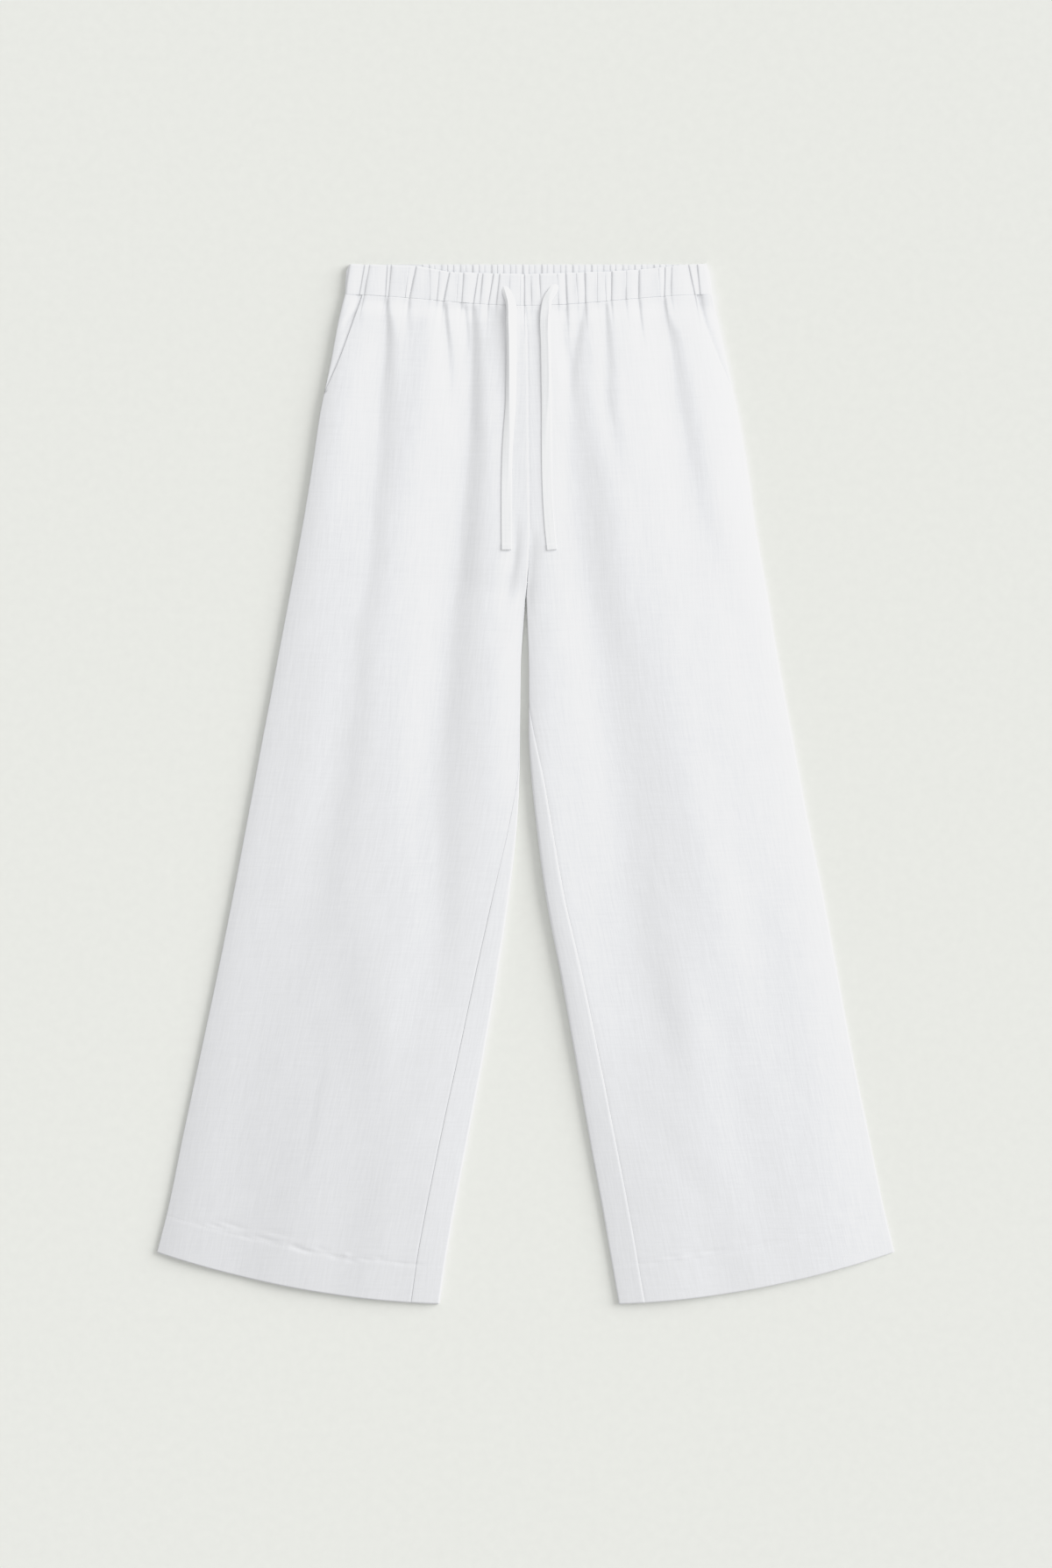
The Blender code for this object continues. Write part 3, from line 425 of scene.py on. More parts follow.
# The numbers of closer rows at a leg's ends and of wider ones between, and the hem's stitches.
FRONT_ROWS = (38, 262)
BACK_ROWS = (30, 240)
CLOSER_ABOVE = 0.045
CLOSER_BELOW = 0.95
STITCHES_DOWN = 0.0022
STITCH_GROOVE_WIDTH = 0.0011
HEM_STEP_LENGTH = 0.004

# A stitch's shortest and longest share of its length, and the faces of its thread.
STITCH_SHARES = (0.88, 1.08)
THREAD_SEGMENTS = 8
THREAD_RINGS = 6

# The mottle's scale, its amount and the roughness of the floor and of the thread.
FLOOR_LOOK = (110, 0.055, 0.9)
THREAD_LOOK = (900, 0.05, 0.8)


def settings():
    return bpy.context.scene.trousers


def ease(value):
    """0 to 1 with level ends, for a value clamped to 0 to 1."""
    value = np.clip(value, 0.0, 1.0)
    return value * value * (3 - 2 * value)


def quarter_round(share):
    """The height of a quarter circle, from 0 at its foot to 1 from its crown on."""
    return np.sqrt(1 - (1 - np.clip(share, 0.0, 1.0)) ** 2)


def bell(value):
    return np.exp(-value ** 2)


def curve_through(places, values, at):
    """A smooth curve through rows of a table, read at any place along it."""
    places = np.asarray(places, float)
    values = np.asarray(values, float)
    slopes = np.gradient(values, places)
    at = np.clip(at, places[0], places[-1])
    row = np.clip(np.searchsorted(places, at, side="right") - 1, 0, len(places) - 2)
    span = places[row + 1] - places[row]
    t = (at - places[row]) / span
    before = values[row] * (1 + 2 * t) * (1 - t) ** 2 + slopes[row] * span * t * (1 - t) ** 2
    return before + values[row + 1] * t * t * (3 - 2 * t) + slopes[row + 1] * span * t * t * (t - 1)


def from_table(table, column, down):
    """One named column of a table, read at a distance down, in metres."""
    places = [row.down for row in table]
    values = [getattr(row, column) for row in table]
    return curve_through(places, values, np.asarray(down) / MM) * MM


def height_on_cloth(down):
    """The Y of a distance down from the waist's top edge."""
    return LENGTH / 2 - down


def waist_seam_down(x):
    """How far down the waist seam lies, lowest at the centre."""
    middle = np.cos(np.clip(x / HALF_WAIST, -1, 1) * math.pi / 2) ** 2
    return WAIST_SEAM_SIDE + (WAIST_SEAM_CENTRE - WAIST_SEAM_SIDE) * middle


def centre_seam_x(down):
    places, values = zip(*CENTRE_SEAM)
    return curve_through(places, values, np.asarray(down) / MM) * MM


def distances(points):
    steps = np.linalg.norm(np.diff(points, axis=0), axis=1)
    return np.concatenate([[0.0], np.cumsum(steps)])


def path_length(points):
    return float(distances(points)[-1])


def point_at(points, where):
    along = distances(points)
    return np.column_stack([np.interp(where, along, points[:, axis]) for axis in range(3)])


def cut(points, start, end):
    """The stretch of a path between two distances along it."""
    along = distances(points)
    inside = points[(along > start + NEAR) & (along < end - NEAR)]
    ends = point_at(points, np.array([start, end]))
    return np.vstack([ends[:1], inside, ends[1:]])


def resample(path, count, turn, fold_at=None):
    """count points along a path, closer by its ends and by a fold, and their inward normals."""
    along = distances(path)
    total = along[-1]
    tangents = np.gradient(path, along, axis=0)[:, [0, 2]]
    angles = np.unwrap(np.arctan2(tangents[:, 1], tangents[:, 0]))
    worth = along + END_WORTH * (np.exp(-(total - along) / END_REACH) - np.exp(-along / END_REACH))
    if fold_at is not None:
        worth = worth + FOLD_WORTH * np.tanh((along - fold_at) / FOLD_REACH)
    worth = worth - worth[0]
    where = np.interp(np.linspace(0, worth[-1], count), worth, along)
    facing = np.interp(where, along, angles) + turn * math.pi / 2
    inward = np.column_stack([np.cos(facing), np.zeros(count), np.sin(facing)])
    return point_at(path, where), inward, where


def crease_lines(creases, x, down):
    """How deep a set of creases lies at each point, in metres."""
    total = np.zeros_like(x)
    at = down / MM
    for crease in creases:
        places, *columns = zip(*crease)
        if at.max() < places[0] or at.min() > places[-1]:
            continue
        middle, depth, low_reach, high_reach = [curve_through(places, column, at) for column in columns]
        off = x / MM - middle
        total += depth * MM * bell(off / np.where(off < 0, low_reach, high_reach))
    return total


class SeamPleats:
    """The band's pleats at the waist seam, which run on down the cloth below it and fade out.

    Here and in the band, sines of a gather's number stand in for chance, so no two pleats are alike.
    """

    def __init__(self):
        self.columns, self.puffs = gather_columns(1.0)
        self.gathers = [gather.bottom * MM for gather in GATHERS]
        self.lengths = []
        for number, gather in enumerate(GATHERS):
            length = PLEAT_LENGTH + LENGTH_FOR_STRENGTH * gather.strength
            self.lengths.append((length + LENGTH_CHANGE * math.sin(number * LENGTH_TURN)) * MM)

    def drop(self, seam_x, below):
        """How far the cloth lies under TOP_HEIGHT, straight below a place on the seam."""
        puffs = SWELL_AT_SEAM * np.interp(seam_x, self.columns, self.puffs)
        lengths = np.interp(seam_x, self.gathers, self.lengths)
        return (SEAM_PUFF - puffs) * np.clip(1 - below / lengths, 0, 1) ** PLEAT_FADE


class Waves:
    """Broad soft undulations, longer along the leg than across it."""

    def __init__(self, seed):
        chance = np.random.default_rng(seed)
        across = chance.uniform(*WAVES_ACROSS, WAVE_COUNT)
        along = chance.uniform(*WAVES_ALONG, WAVE_COUNT)
        self.turns = 2 * math.pi * np.column_stack([1 / across, chance.choice([-1, 1], WAVE_COUNT) / along])
        self.phases = chance.uniform(0, 2 * math.pi, WAVE_COUNT)
        self.heights = across / across.mean()

    def at(self, x, down):
        places = np.column_stack([x, down]) @ self.turns.T + self.phases
        return np.sin(places) @ self.heights


class Leg:
    """One leg's flattened tube, from the waist seam at v = 0 to the hem at v = 1."""

    def __init__(self, name, table):
        self.name = name
        self.table = table
        self.sign = -1 if name == "right" else 1
        self.mouth = POCKET_MOUTHS[name]
        self.seam = INSEAMS[name]
        self.waves = Waves(WAVE_SEED + self.sign)
        self.cloth = settings().cloth
        self.pleats = SeamPleats()
        self.seam_x = self.edges(0)[1]

    def read(self, column, down):
        return float(from_table(self.table, column, down))

    def edges(self, v):
        """The row's outer and inner ends: (down, x) of each."""
        outer_down = WAIST_SEAM_SIDE + v * (HEM_SIDE - WAIST_SEAM_SIDE)
        inner_down = WAIST_SEAM_CENTRE + v * LEG_LENGTH
        if inner_down < CROTCH:
            inner_x = float(centre_seam_x(inner_down)) + self.sign * FINE_GAP / 2
        else:
            inner_x = self.read("inner", inner_down)
        return outer_down, self.read("outer", outer_down), inner_down, inner_x

    def stitch_groove(self, v):
        return self.cloth.stitch_groove * bell((below_turn_up(v) - STITCHES_DOWN) / STITCH_GROOVE_WIDTH)

    def hem_relief(self, x, v):
        """The turn-up's extra thickness, its stitched groove and the dents beside it."""
        below = below_turn_up(v)
        step = self.cloth.hem_step * float(ease(below / HEM_STEP_LENGTH + 0.5))
        relief = np.full_like(x, step - self.stitch_groove(v))
        if abs(below) < DENTS_WITHIN:
            for dent in HEM_DENTS[self.name]:
                along = bell((x / MM - dent.x) / dent.half_length)
                relief -= dent.depth * MM * along * bell((below / MM - dent.offset) / DENT_HALF_HEIGHT)
        return relief

    def outlines(self, v):
        """The row's top and bottom outlines as dense points, from the outer fold to the inner edge."""
        outer_down, outer_x, inner_down, inner_x = self.edges(v)
        width = abs(inner_x - outer_x)
        closed = float(ease((inner_down - CROTCH + CLOSING_LENGTH) / CLOSING_LENGTH))
        outer_rise = self.read("outer_rise", outer_down)
        inner_rise = self.read("inner_rise", inner_down)
        mid_rise = self.read("mid_rise", (outer_down + inner_down) / 2)
        outer_fall, inner_fall = OUTER_FALL[self.name], INNER_FALL[self.name]
        edge_puff = float(ease((outer_down - WAIST_SEAM_SIDE) / PUFF_BELOW_BAND))
        edge_rise = outer_rise * (1 - outer_fall.share)
        outer_round = (BAND_HEIGHT_AT_SEAM + (edge_rise - BAND_HEIGHT_AT_SEAM) * edge_puff) / 2
        inner_round = inner_rise * (1 - inner_fall.share) / 2
        rim = FOLD_RIM * (1 - np.cos(np.linspace(0, math.pi / 2, FOLD_STEPS)))
        between = np.linspace(FOLD_RIM, width - FOLD_RIM, FLAT_STEPS)[1:-1]
        from_outer = np.concatenate([rim, between, width - rim[::-1]])
        u = from_outer / width
        x = outer_x + (inner_x - outer_x) * u
        line = outer_down + (inner_down - outer_down) * u
        down = line + HEM_SAG * v * 4 * u * (1 - u)
        seam_line = WAIST_SEAM_SIDE + (WAIST_SEAM_CENTRE - WAIST_SEAM_SIDE) * u
        down = down + (waist_seam_down(x) + WAIST_GAP - seam_line) * max(0.0, 1 - v / WAIST_CURVE_FADE)
        rise = outer_rise * (1 - u) * (1 - 2 * u) + mid_rise * 4 * u * (1 - u) + inner_rise * u * (2 * u - 1)
        rise = rise + self.cloth.wave_height * self.waves.at(u * WAVE_SPAN, down)
        rise = rise - outer_fall.share * outer_rise * np.exp(-from_outer / outer_fall.reach)
        rise = rise - closed * inner_fall.share * inner_rise * np.exp((from_outer - width) / inner_fall.reach)
        below = down - waist_seam_down(x)
        puff = ease(below / PUFF_BELOW_BAND)
        rise = TOP_HEIGHT + (rise - TOP_HEIGHT) * puff
        opened = CREASE_START + (1 - CREASE_START) * ease(below / CREASE_START_LENGTH)
        rise = rise - crease_lines(CREASES[self.name], x, down) * opened
        rise = rise + self.hem_relief(x, v)
        hollow = crease_lines(BACK_CREASES[self.name], x, down) * puff + self.stitch_groove(v)
        if below.min() < LONGEST_PLEAT:
            drop = self.pleats.drop(x * self.seam_x / outer_x, below)
            rise = rise - drop
            hollow = hollow + UNDER_PLEAT_SHARE * np.maximum(drop, 0)
        outer_lift = quarter_round(from_outer / FOLD_RIM)
        inner_lift = quarter_round((width - from_outer) / FOLD_RIM)
        top = outer_round + (rise - outer_round) * outer_lift
        top = top - closed * (top - inner_round) * (1 - inner_lift)
        bottom = outer_round * (1 - outer_lift) + closed * inner_round * (1 - inner_lift)
        bottom = bottom + hollow * outer_lift ** 2 * (1 - closed * (1 - inner_lift ** 2))
        y = height_on_cloth(down)
        return np.column_stack([x, y, top]), np.column_stack([x, y, bottom])

    def inseam_in(self, v):
        return self.read("inseam_in", self.edges(v)[2])

    def inseam_shows(self, v):
        """How plainly the inseam shows, 0 to 1, fading in below where it starts to."""
        return float(ease((self.edges(v)[2] - self.seam.shows_from * MM) / INSEAM_FADE))

    def mouth_in(self, v):
        """How far in from the outer edge the pocket mouth lies, 0 below it."""
        share = (self.edges(v)[0] - WAIST_SEAM_SIDE) / (self.mouth.end * MM - WAIST_SEAM_SIDE)
        return self.mouth.top_in * MM * max(0.0, 1 - share ** self.mouth.bow)

    def mouth_along(self, v, top):
        """The length along a row's top outline from the outer edge to the pocket mouth."""
        return float(np.interp(self.mouth_in(v), np.abs(top[:, 0] - top[0, 0]), distances(top)))

    def is_closed(self, v):
        return self.edges(v)[2] >= CROTCH - 1e-9

    def rolled(self, where, at_start, at_end):
        """How far the cloth rolls in beside the seams at its two edges."""
        reach = self.cloth.seam_roll_width
        roll = at_start * bell(where / reach) + at_end * bell((where[-1] - where) / reach)
        return self.cloth.seam_roll * roll

    def wall(self, v):
        """The cloth's thickness, doubled where the hem is turned up."""
        turned = float(ease((v - 1 + HEM_SHARE) / TURN_UP_FADE))
        return self.cloth.thickness * (1 + turned)

    def front_row(self, v):
        """The front's wall at v, from the outseam or the pocket mouth to the inseam or centre seam."""
        top = self.outlines(v)[0]
        mouth = self.mouth_along(v, top)
        start = max(FINE_GAP / 2, mouth)
        end = path_length(top)
        if self.is_closed(v):
            end -= self.inseam_in(v) + FINE_GAP / 2
        points, inward, where = resample(cut(top, start, end), FRONT_COLUMNS, self.sign)
        sewn_edge = 1 - float(ease(mouth / (2 * MM)))
        centre_seam = 1 - float(ease((self.edges(v)[2] - CROTCH) / INSEAM_FADE))
        inner_edge = centre_seam + self.inseam_shows(v) * self.seam.front_roll
        points = points + inward * self.rolled(where, sewn_edge, inner_edge)[:, None]
        inside = points + inward * self.wall(v)
        near = np.pad(inside[:, 2], INSIDE_STEP, mode="edge")
        shifted = [near[step:step + FRONT_COLUMNS] for step in range(2 * INSIDE_STEP + 1)]
        inside[:, 2] = np.min(shifted, axis=0)
        return points, inside, map_places(points, where + start - end / 2)

    def back_row(self, v):
        """The back's wall at v, from the outseam under the leg and up its inner fold to the inseam."""
        top, bottom = self.outlines(v)
        end = path_length(bottom)
        inseam = self.inseam_in(v) - FINE_GAP / 2
        if self.is_closed(v):
            end += min(0.0, inseam)
        path = cut(bottom, FINE_GAP / 2, end)
        fold_at = path_length(path)
        if self.is_closed(v) and inseam > 0:
            length = path_length(top)
            path = np.vstack([path, cut(top, length - inseam, length)[::-1][1:]])
        points, inward, where = resample(path, BACK_COLUMNS, -self.sign, fold_at)
        shows = self.inseam_shows(v)
        step = self.cloth.seam_press * self.seam.step * shows * float(ease(inseam / PRESS_FADE))
        pressed = step * np.exp(-(where[-1] - where) / PRESS_REACH)
        moved = self.rolled(where, 1, shows * self.seam.back_roll) - pressed
        points = points + inward * moved[:, None]
        return points, points + inward * self.wall(v), map_places(points, where - where[-1] / 2)

    def side_piece_row(self, v):
        """Level with the fold at the outseam, and under the front from the pocket mouth on."""
        top = self.outlines(v)[0]
        mouth = self.mouth_along(v, top)
        path = cut(top, FINE_GAP / 2, mouth + POCKET_UNDERLAP)
        points, inward, where = resample(path, SIDE_COLUMNS, self.sign)
        gape = self.mouth.gape * MM * math.sin(math.pi * math.sqrt(min(1.0, v / GAPE_FADE)))
        deepest = min(self.cloth.thickness + POCKET_UNDER_GAP + gape, self.mouth.dive * mouth)
        sunk = ease((where / mouth) ** 2) * deepest
        sunk = sunk + self.cloth.seam_roll * bell(where / self.cloth.seam_roll_width)
        points = points + inward * sunk[:, None]
        return points, points + inward * self.cloth.thickness, map_places(points, where)


def below_turn_up(v):
    """How far a row lies below the upper edge of the turned up hem."""
    return (v - 1 + HEM_SHARE) * LEG_LENGTH


def map_places(points, across):
    """A leg's row of points on the cut cloth."""
    return np.column_stack([across, height_on_cloth(0) - points[:, 1]])


def legs():
    return Leg("right", RIGHT_LEG), Leg("left", LEFT_LEG)


def every(count, step):
    """0, step, 2 step and so on, and the last of count."""
    return np.unique(np.append(np.arange(0, count, step), count - 1))


def cloth_shell(name, rows, material, step=INSIDE_STEP):
    """A closed sheet of cloth: a fine side, a coarser one, and a rim that joins them.

    Each row is its points on the fine side, those on the other side and their places on the cut cloth.
    The piece comes back with the fine side's points.
    """
    outer, inner, flat = (np.array(part) for part in zip(*rows))
    shape = outer.shape[:2]
    row_steps, column_steps = [every(count, step) for count in shape]
    picked = np.ix_(row_steps, column_steps)
    coarse = inner[picked]
    fine_ids = np.arange(math.prod(shape)).reshape(shape)
    coarse_ids = np.arange(len(row_steps) * len(column_steps)).reshape(coarse.shape[:2]) + fine_ids.size
    faces = []
    for ids, order in ((fine_ids, 1), (coarse_ids, -1)):
        corners = [ids[:-1, :-1], ids[1:, :-1], ids[1:, 1:], ids[:-1, 1:]]
        quads = np.stack([corner.ravel() for corner in corners], axis=1)
        faces += quads[:, ::order].tolist()
    for fine, rough, steps in ((fine_ids, coarse_ids, column_steps), (fine_ids.T, coarse_ids.T, row_steps)):
        for edge in (0, -1):
            for number, (start, end) in enumerate(zip(steps[:-1], steps[1:])):
                run = fine[edge, start:end + 1].tolist()
                faces.append(run + rough[edge, [number + 1, number]].tolist())
    points = np.vstack([outer.reshape(-1, 3), coarse.reshape(-1, 3)])
    places = np.vstack([flat.reshape(-1, 2), flat[picked].reshape(-1, 2)])
    return closed_piece(name, points, faces, places, material), outer


def closed_piece(name, points, faces, places, material):
    """A piece from a closed mesh, its faces turned outward, with its map of the cut cloth in metres."""
    mesh = bpy.data.meshes.new(name)
    mesh.from_pydata(points.tolist(), [], faces)
    form = bmesh.new()
    form.from_mesh(mesh)
    bmesh.ops.recalc_face_normals(form, faces=form.faces)
    form.to_mesh(mesh)
    form.free()
    corners = np.empty(len(mesh.loops), dtype=np.int32)
    mesh.loops.foreach_get("vertex_index", corners)
    layer = mesh.uv_layers.new(name="cut_cloth")
    layer.data.foreach_set("uv", places[corners].astype(np.float32).ravel())
    return add_piece(name, mesh, material)


def add_piece(name, mesh, material):
    """A new object for a mesh, on the trousers' one body."""
    mesh.materials.clear()
    mesh.materials.append(material)
    mesh.shade_smooth()
    piece = bpy.data.objects.new(name, mesh)
    bpy.context.scene.collection.objects.link(piece)
    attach(piece, BODY)
    return piece


def leg_rows(fine, plain):
    """The rows' v: close together below the band and at the hem, wider apart between."""
    return np.concatenate([np.linspace(0, CLOSER_ABOVE, fine),
                           np.linspace(CLOSER_ABOVE, CLOSER_BELOW, plain)[1:],
                           np.linspace(CLOSER_BELOW, 1, fine)[1:]])


def panel(node, row_at, rows, material):
    """A leg's panel, lofted row by row, in place of its node."""
    piece, grid = cloth_shell(node + "_cloth", [row_at(v) for v in rows], material)
    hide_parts(node)
    return piece, grid


def band_edges(down):
    """The X of the band's right and left folds at a distance down."""
    places = [row.down for row in BAND_EDGES]
    right = np.interp(down / MM, places, [row.right for row in BAND_EDGES]) * MM
    left = np.interp(down / MM, places, [row.left for row in BAND_EDGES]) * MM
    return right, left


def band_row(share, columns, tops, upper):
    """Points across the band and their inward normals; upper is 1 in front and -1 at the back.

    share runs from the band's top edge to the waist seam, and tops are the top edge's points.
    """
    right, left = band_edges(share * WAIST_SEAM_SIDE)
    rounds = BAND_FOLD * (1 - np.cos(np.linspace(0, math.pi / 2, BAND_FOLD_COLUMNS)))
    x = np.concatenate([right + rounds, columns, left - rounds[::-1]])
    top_down = np.interp(x / MM, [point.x for point in tops], [point.dip for point in tops]) * MM
    down = top_down + (waist_seam_down(x) - top_down) * share
    off = np.minimum(x - right, left - x)
    angle = np.arccos(np.clip(1 - off / BAND_FOLD, 0, 1))
    z = BAND_FOLD + BAND_GAP / 2 + upper * (BAND_GAP / 2 + BAND_FOLD * np.sin(angle))
    sideways = np.where(x < (right + left) / 2, np.cos(angle), -np.cos(angle))
    inward = np.column_stack([sideways, np.zeros_like(x), -upper * np.sin(angle)])
    return np.column_stack([x, height_on_cloth(down), z]), inward


def gather_columns(share):
    """The front band's columns at one row, close together at each gather, and how far each puffs out."""
    band = settings().waistband
    places, puffs = [], []
    for number, (one, other) in enumerate(zip(FOLDED_GATHERS[:-1], FOLDED_GATHERS[1:])):
        pitch = (other.top - one.top + other.bottom - one.bottom) / 2 * MM
        puff = min(band.puff_most, band.puff_least + band.puff_per_pitch * pitch)
        puff *= 1 + PUFF_CHANGE * math.sin(number * PUFF_TURN + share * PUFF_TURN_DOWN)
        between = spread(max(LEAST_COLUMNS, round(pitch / band.column_spacing)))
        deep_one = fading_strength(one, number, share)
        deep_other = fading_strength(other, number + 1, share)
        strength = deep_one + (deep_other - deep_one) * between
        top = one.top + (other.top - one.top) * between
        bottom = one.bottom + (other.bottom - one.bottom) * between
        places.append((top + (bottom - top) * share) * MM)
        puffs.append(puff * (1 - strength + strength * lapped(between, band.puff_rise)))
    return np.concatenate(places)[1:], np.concatenate(puffs)[1:]


def spread(count):
    """Shares of the way from one gather to the next, close together at both."""
    return (1 - np.cos(np.linspace(0, math.pi, count + 1)[:-1])) / 2


def lapped(between, rise):
    """A pleat's height from one gather to the next: up steeply from the first, gently down to the second."""
    gentle = 1 - ease((between - rise) / (1 - rise) * EASED_SHARE) / EASED_HEIGHT
    return np.where(between < rise, quarter_round(between / rise), gentle)


def fading_strength(gather, number, share):
    """A gather's groove at a share of the band's height: strong ones run through, weak ones fade."""
    weak = 1 - gather.strength
    chance = 0.5 + 0.5 * math.sin(number * FADE_TURN + share * FADE_TURN_DOWN)
    return gather.strength * (1 - FADE_MOST * weak * chance)


def inside_gathers():
    """The back band's columns inside, and their rise."""
    places, rises = [], []
    between = spread(INSIDE_GATHER_COLUMNS)
    for number in range(round((INSIDE_GATHERS_TO - INSIDE_GATHERS_FROM) / INSIDE_GATHER_PITCH)):
        drift = INSIDE_GATHER_DRIFT * math.sin(number * DRIFT_TURN)
        chance = math.sin(number * RISE_TURN)
        rise = INSIDE_GATHER_RISE * (1 - INSIDE_RISE_CHANGE + INSIDE_RISE_CHANGE * chance)
        places.append(INSIDE_GATHERS_FROM + (number + between) * INSIDE_GATHER_PITCH + drift)
        rises.append(rise * lapped(between, LAP_SHARE))
    right, left = BAND_EDGES[0].right * MM + BAND_FOLD, BAND_EDGES[0].left * MM - BAND_FOLD
    before = np.linspace(right, places[0][0], COLUMNS_BEFORE_GATHERS)[1:-1]
    after = np.linspace(places[-1][-1], left, COLUMNS_AFTER_GATHERS)[1:-1]
    rises = [np.zeros(len(before)), *rises, np.zeros(len(after))]
    return np.concatenate([before, *places, after]), np.concatenate(rises)


def band(name, row_at, material, step):
    """Half of the waistband, its rows close together at its folded top edge and at the waist seam."""
    rows = []
    for share in (1 - np.cos(np.linspace(0, math.pi, BAND_ROWS))) / 2:
        points, fine, other = row_at(share)
        places = np.column_stack([points[:, 0], np.full(len(points), share * BAND_CUT_HEIGHT)])
        rows.append((fine, other, places))
    return cloth_shell(name, rows, material, step)


def front_band_row(share):
    """A row of the front: gathers outside, a plain inside, and a top edge that dips in the middle."""
    columns, puffs = gather_columns(share)
    points, inward = band_row(share, columns, FRONT_BAND_TOP, 1)
    settled = SWELL_AT_SEAM + (1 - SWELL_AT_SEAM) * quarter_round((1 - share) / SEAM_ROUND)
    puffs = np.pad(puffs, BAND_FOLD_COLUMNS)
    points[:, 1] += FRONT_SCALLOP * puffs * (1 - ease(share / SCALLOP_FADE))
    outside = points - inward * (puffs * (quarter_round(share / TOP_ROUND) * settled))[:, None]
    inside = points + inward * BAND_WALL * (FRONT_RIM + (1 - FRONT_RIM) * quarter_round(share / WALL_ROUND))
    return points, outside, inside


def back_band_row(share):
    """A row of the back: gathered on the side that lies down, and inside along its top edge."""
    columns, rises = inside_gathers()
    points, inward = band_row(share, columns, LEVEL_TOP, -1)
    strip = quarter_round(share / TOP_ROUND) * (1 - ease((share - INSIDE_STRIP_SHARE) / STRIP_FADE))
    rise = np.pad(rises * strip, BAND_FOLD_COLUMNS)
    scallop = BACK_SCALLOP * np.pad(rises, BAND_FOLD_COLUMNS)
    points[:, 1] += scallop * (1 - ease(share / SCALLOP_FADE))
    grooves = under_grooves(points[:, 0], share)
    grooves[:BAND_FOLD_COLUMNS] = 0
    grooves[-BAND_FOLD_COLUMNS:] = 0
    edge = BACK_RIM * BAND_WALL * (1 - quarter_round(share / WALL_ROUND))
    outside = points + inward * (grooves + edge)[:, None]
    return points, points + inward * (BAND_WALL + rise)[:, None], outside


def under_grooves(x, share):
    """The back band's gathers on the side that lies down: grooves up into its cloth."""
    total = np.zeros_like(x)
    for number, gather in enumerate(GATHERS):
        drift = UNDER_GATHER_DRIFT * math.sin(number * UNDER_TURN)
        middle = (gather.bottom + drift + UNDER_GATHER_SLANT * share) * MM
        depth = UNDER_GATHER_DEPTH * (WEAK_GROOVE + (1 - WEAK_GROOVE) * gather.strength)
        total += depth * np.exp(-np.abs(x - middle) / UNDER_GATHER_REACH)
    return np.minimum(total, UNDER_GATHER_DEPTH)


def resting_height(x, y, half_width, trees):
    """The highest cloth under a tape's width and the stretch around one of its points."""
    highest = 0.0
    for across in np.linspace(-half_width, half_width, POINTS_ACROSS):
        for along in np.linspace(-TAPE_REACH, TAPE_REACH, 3):
            start = Vector((x + across, y + along, HIGH_ABOVE))
            for tree in trees:
                hit = tree.ray_cast(start, Vector((0, 0, -1)))[0]
                if hit is not None:
                    highest = max(highest, hit.z)
    return highest


def tape(side, under, material):
    """A free end of the drawstring, and the middle line that it follows."""
    sizes = settings().drawstring
    corners = np.array(TAPES[side], float) * MM
    lengths = distances(np.column_stack([corners, np.zeros(len(corners))]))
    at = np.linspace(0, lengths[-1], round(lengths[-1] / TAPE_RING_STEP) + 1)
    down, x = [curve_through(lengths, corners[:, column], at) for column in (0, 1)]
    y = height_on_cloth(down)
    along, *lay = zip(*TAPE_LAY[side])
    width, crest_at, crest, ridge, sink = [curve_through(along, column, at / MM) for column in lay]
    width, crest, ridge, sink = width * MM, crest * MM, ridge * MM, sink * MM
    trees = [BVHTree.FromObject(thing, bpy.context.evaluated_depsgraph_get()) for thing in under]
    z = np.array([resting_height(px, py, w / 2, trees) for px, py, w in zip(x, y, width)])
    for _ in range(TAPE_SMOOTHINGS):
        padded = np.pad(z, 1, mode="edge")
        z = np.maximum(z, (padded[:-2] + padded[1:-1] + padded[2:]) / 3)
    z = z + TAPE_CLEARANCE - sink
    tangents = np.gradient(np.column_stack([x, y]), axis=0)
    tangents /= np.linalg.norm(tangents, axis=1)[:, None]
    side_ways = np.column_stack([-tangents[:, 1], tangents[:, 0]])
    side_ways *= np.sign(side_ways[:, :1])
    places = np.sin(np.linspace(-math.pi / 2, math.pi / 2, TAPE_SIDE_POINTS))
    share = (places + 1) / 2
    edge = quarter_round((1 - np.abs(places)) / TAPE_EDGE)
    rings, flats = [], []
    for ring, middle_at in enumerate(crest_at):
        end = 1 + sizes.end_fold * float(ease((at[ring] - lengths[-1] + TAPE_END_FOLD) / MM))
        tent = np.where(share < middle_at, share / middle_at, (1 - share) / (1 - middle_at))
        ridged = bell((share - RIDGE_AT) / RIDGE_WIDTH)
        raised = crest[ring] * tent ** CREST_POWER + ridge[ring] * ridged * edge
        top = sizes.thickness * end * (TAPE_RIM + (1 - TAPE_RIM) * edge) + raised
        bottom = TAPE_RIM_BELOW * sizes.thickness * (1 - edge) + CREST_BELOW * raised
        across = places * width[ring] / 2
        across = np.concatenate([across, across[::-1]])
        lift = np.concatenate([top, bottom[::-1]])
        rings.append(np.column_stack([x[ring] + across * side_ways[ring, 0],
                                      y[ring] + across * side_ways[ring, 1], z[ring] + lift]))
        flats.append(np.column_stack([across, np.full(len(across), at[ring])]))
    piece = closed_tube("drawstring_" + side + "_tape", np.array(rings), np.vstack(flats), material)
    return piece, np.column_stack([x, y, z + sizes.thickness / 2])


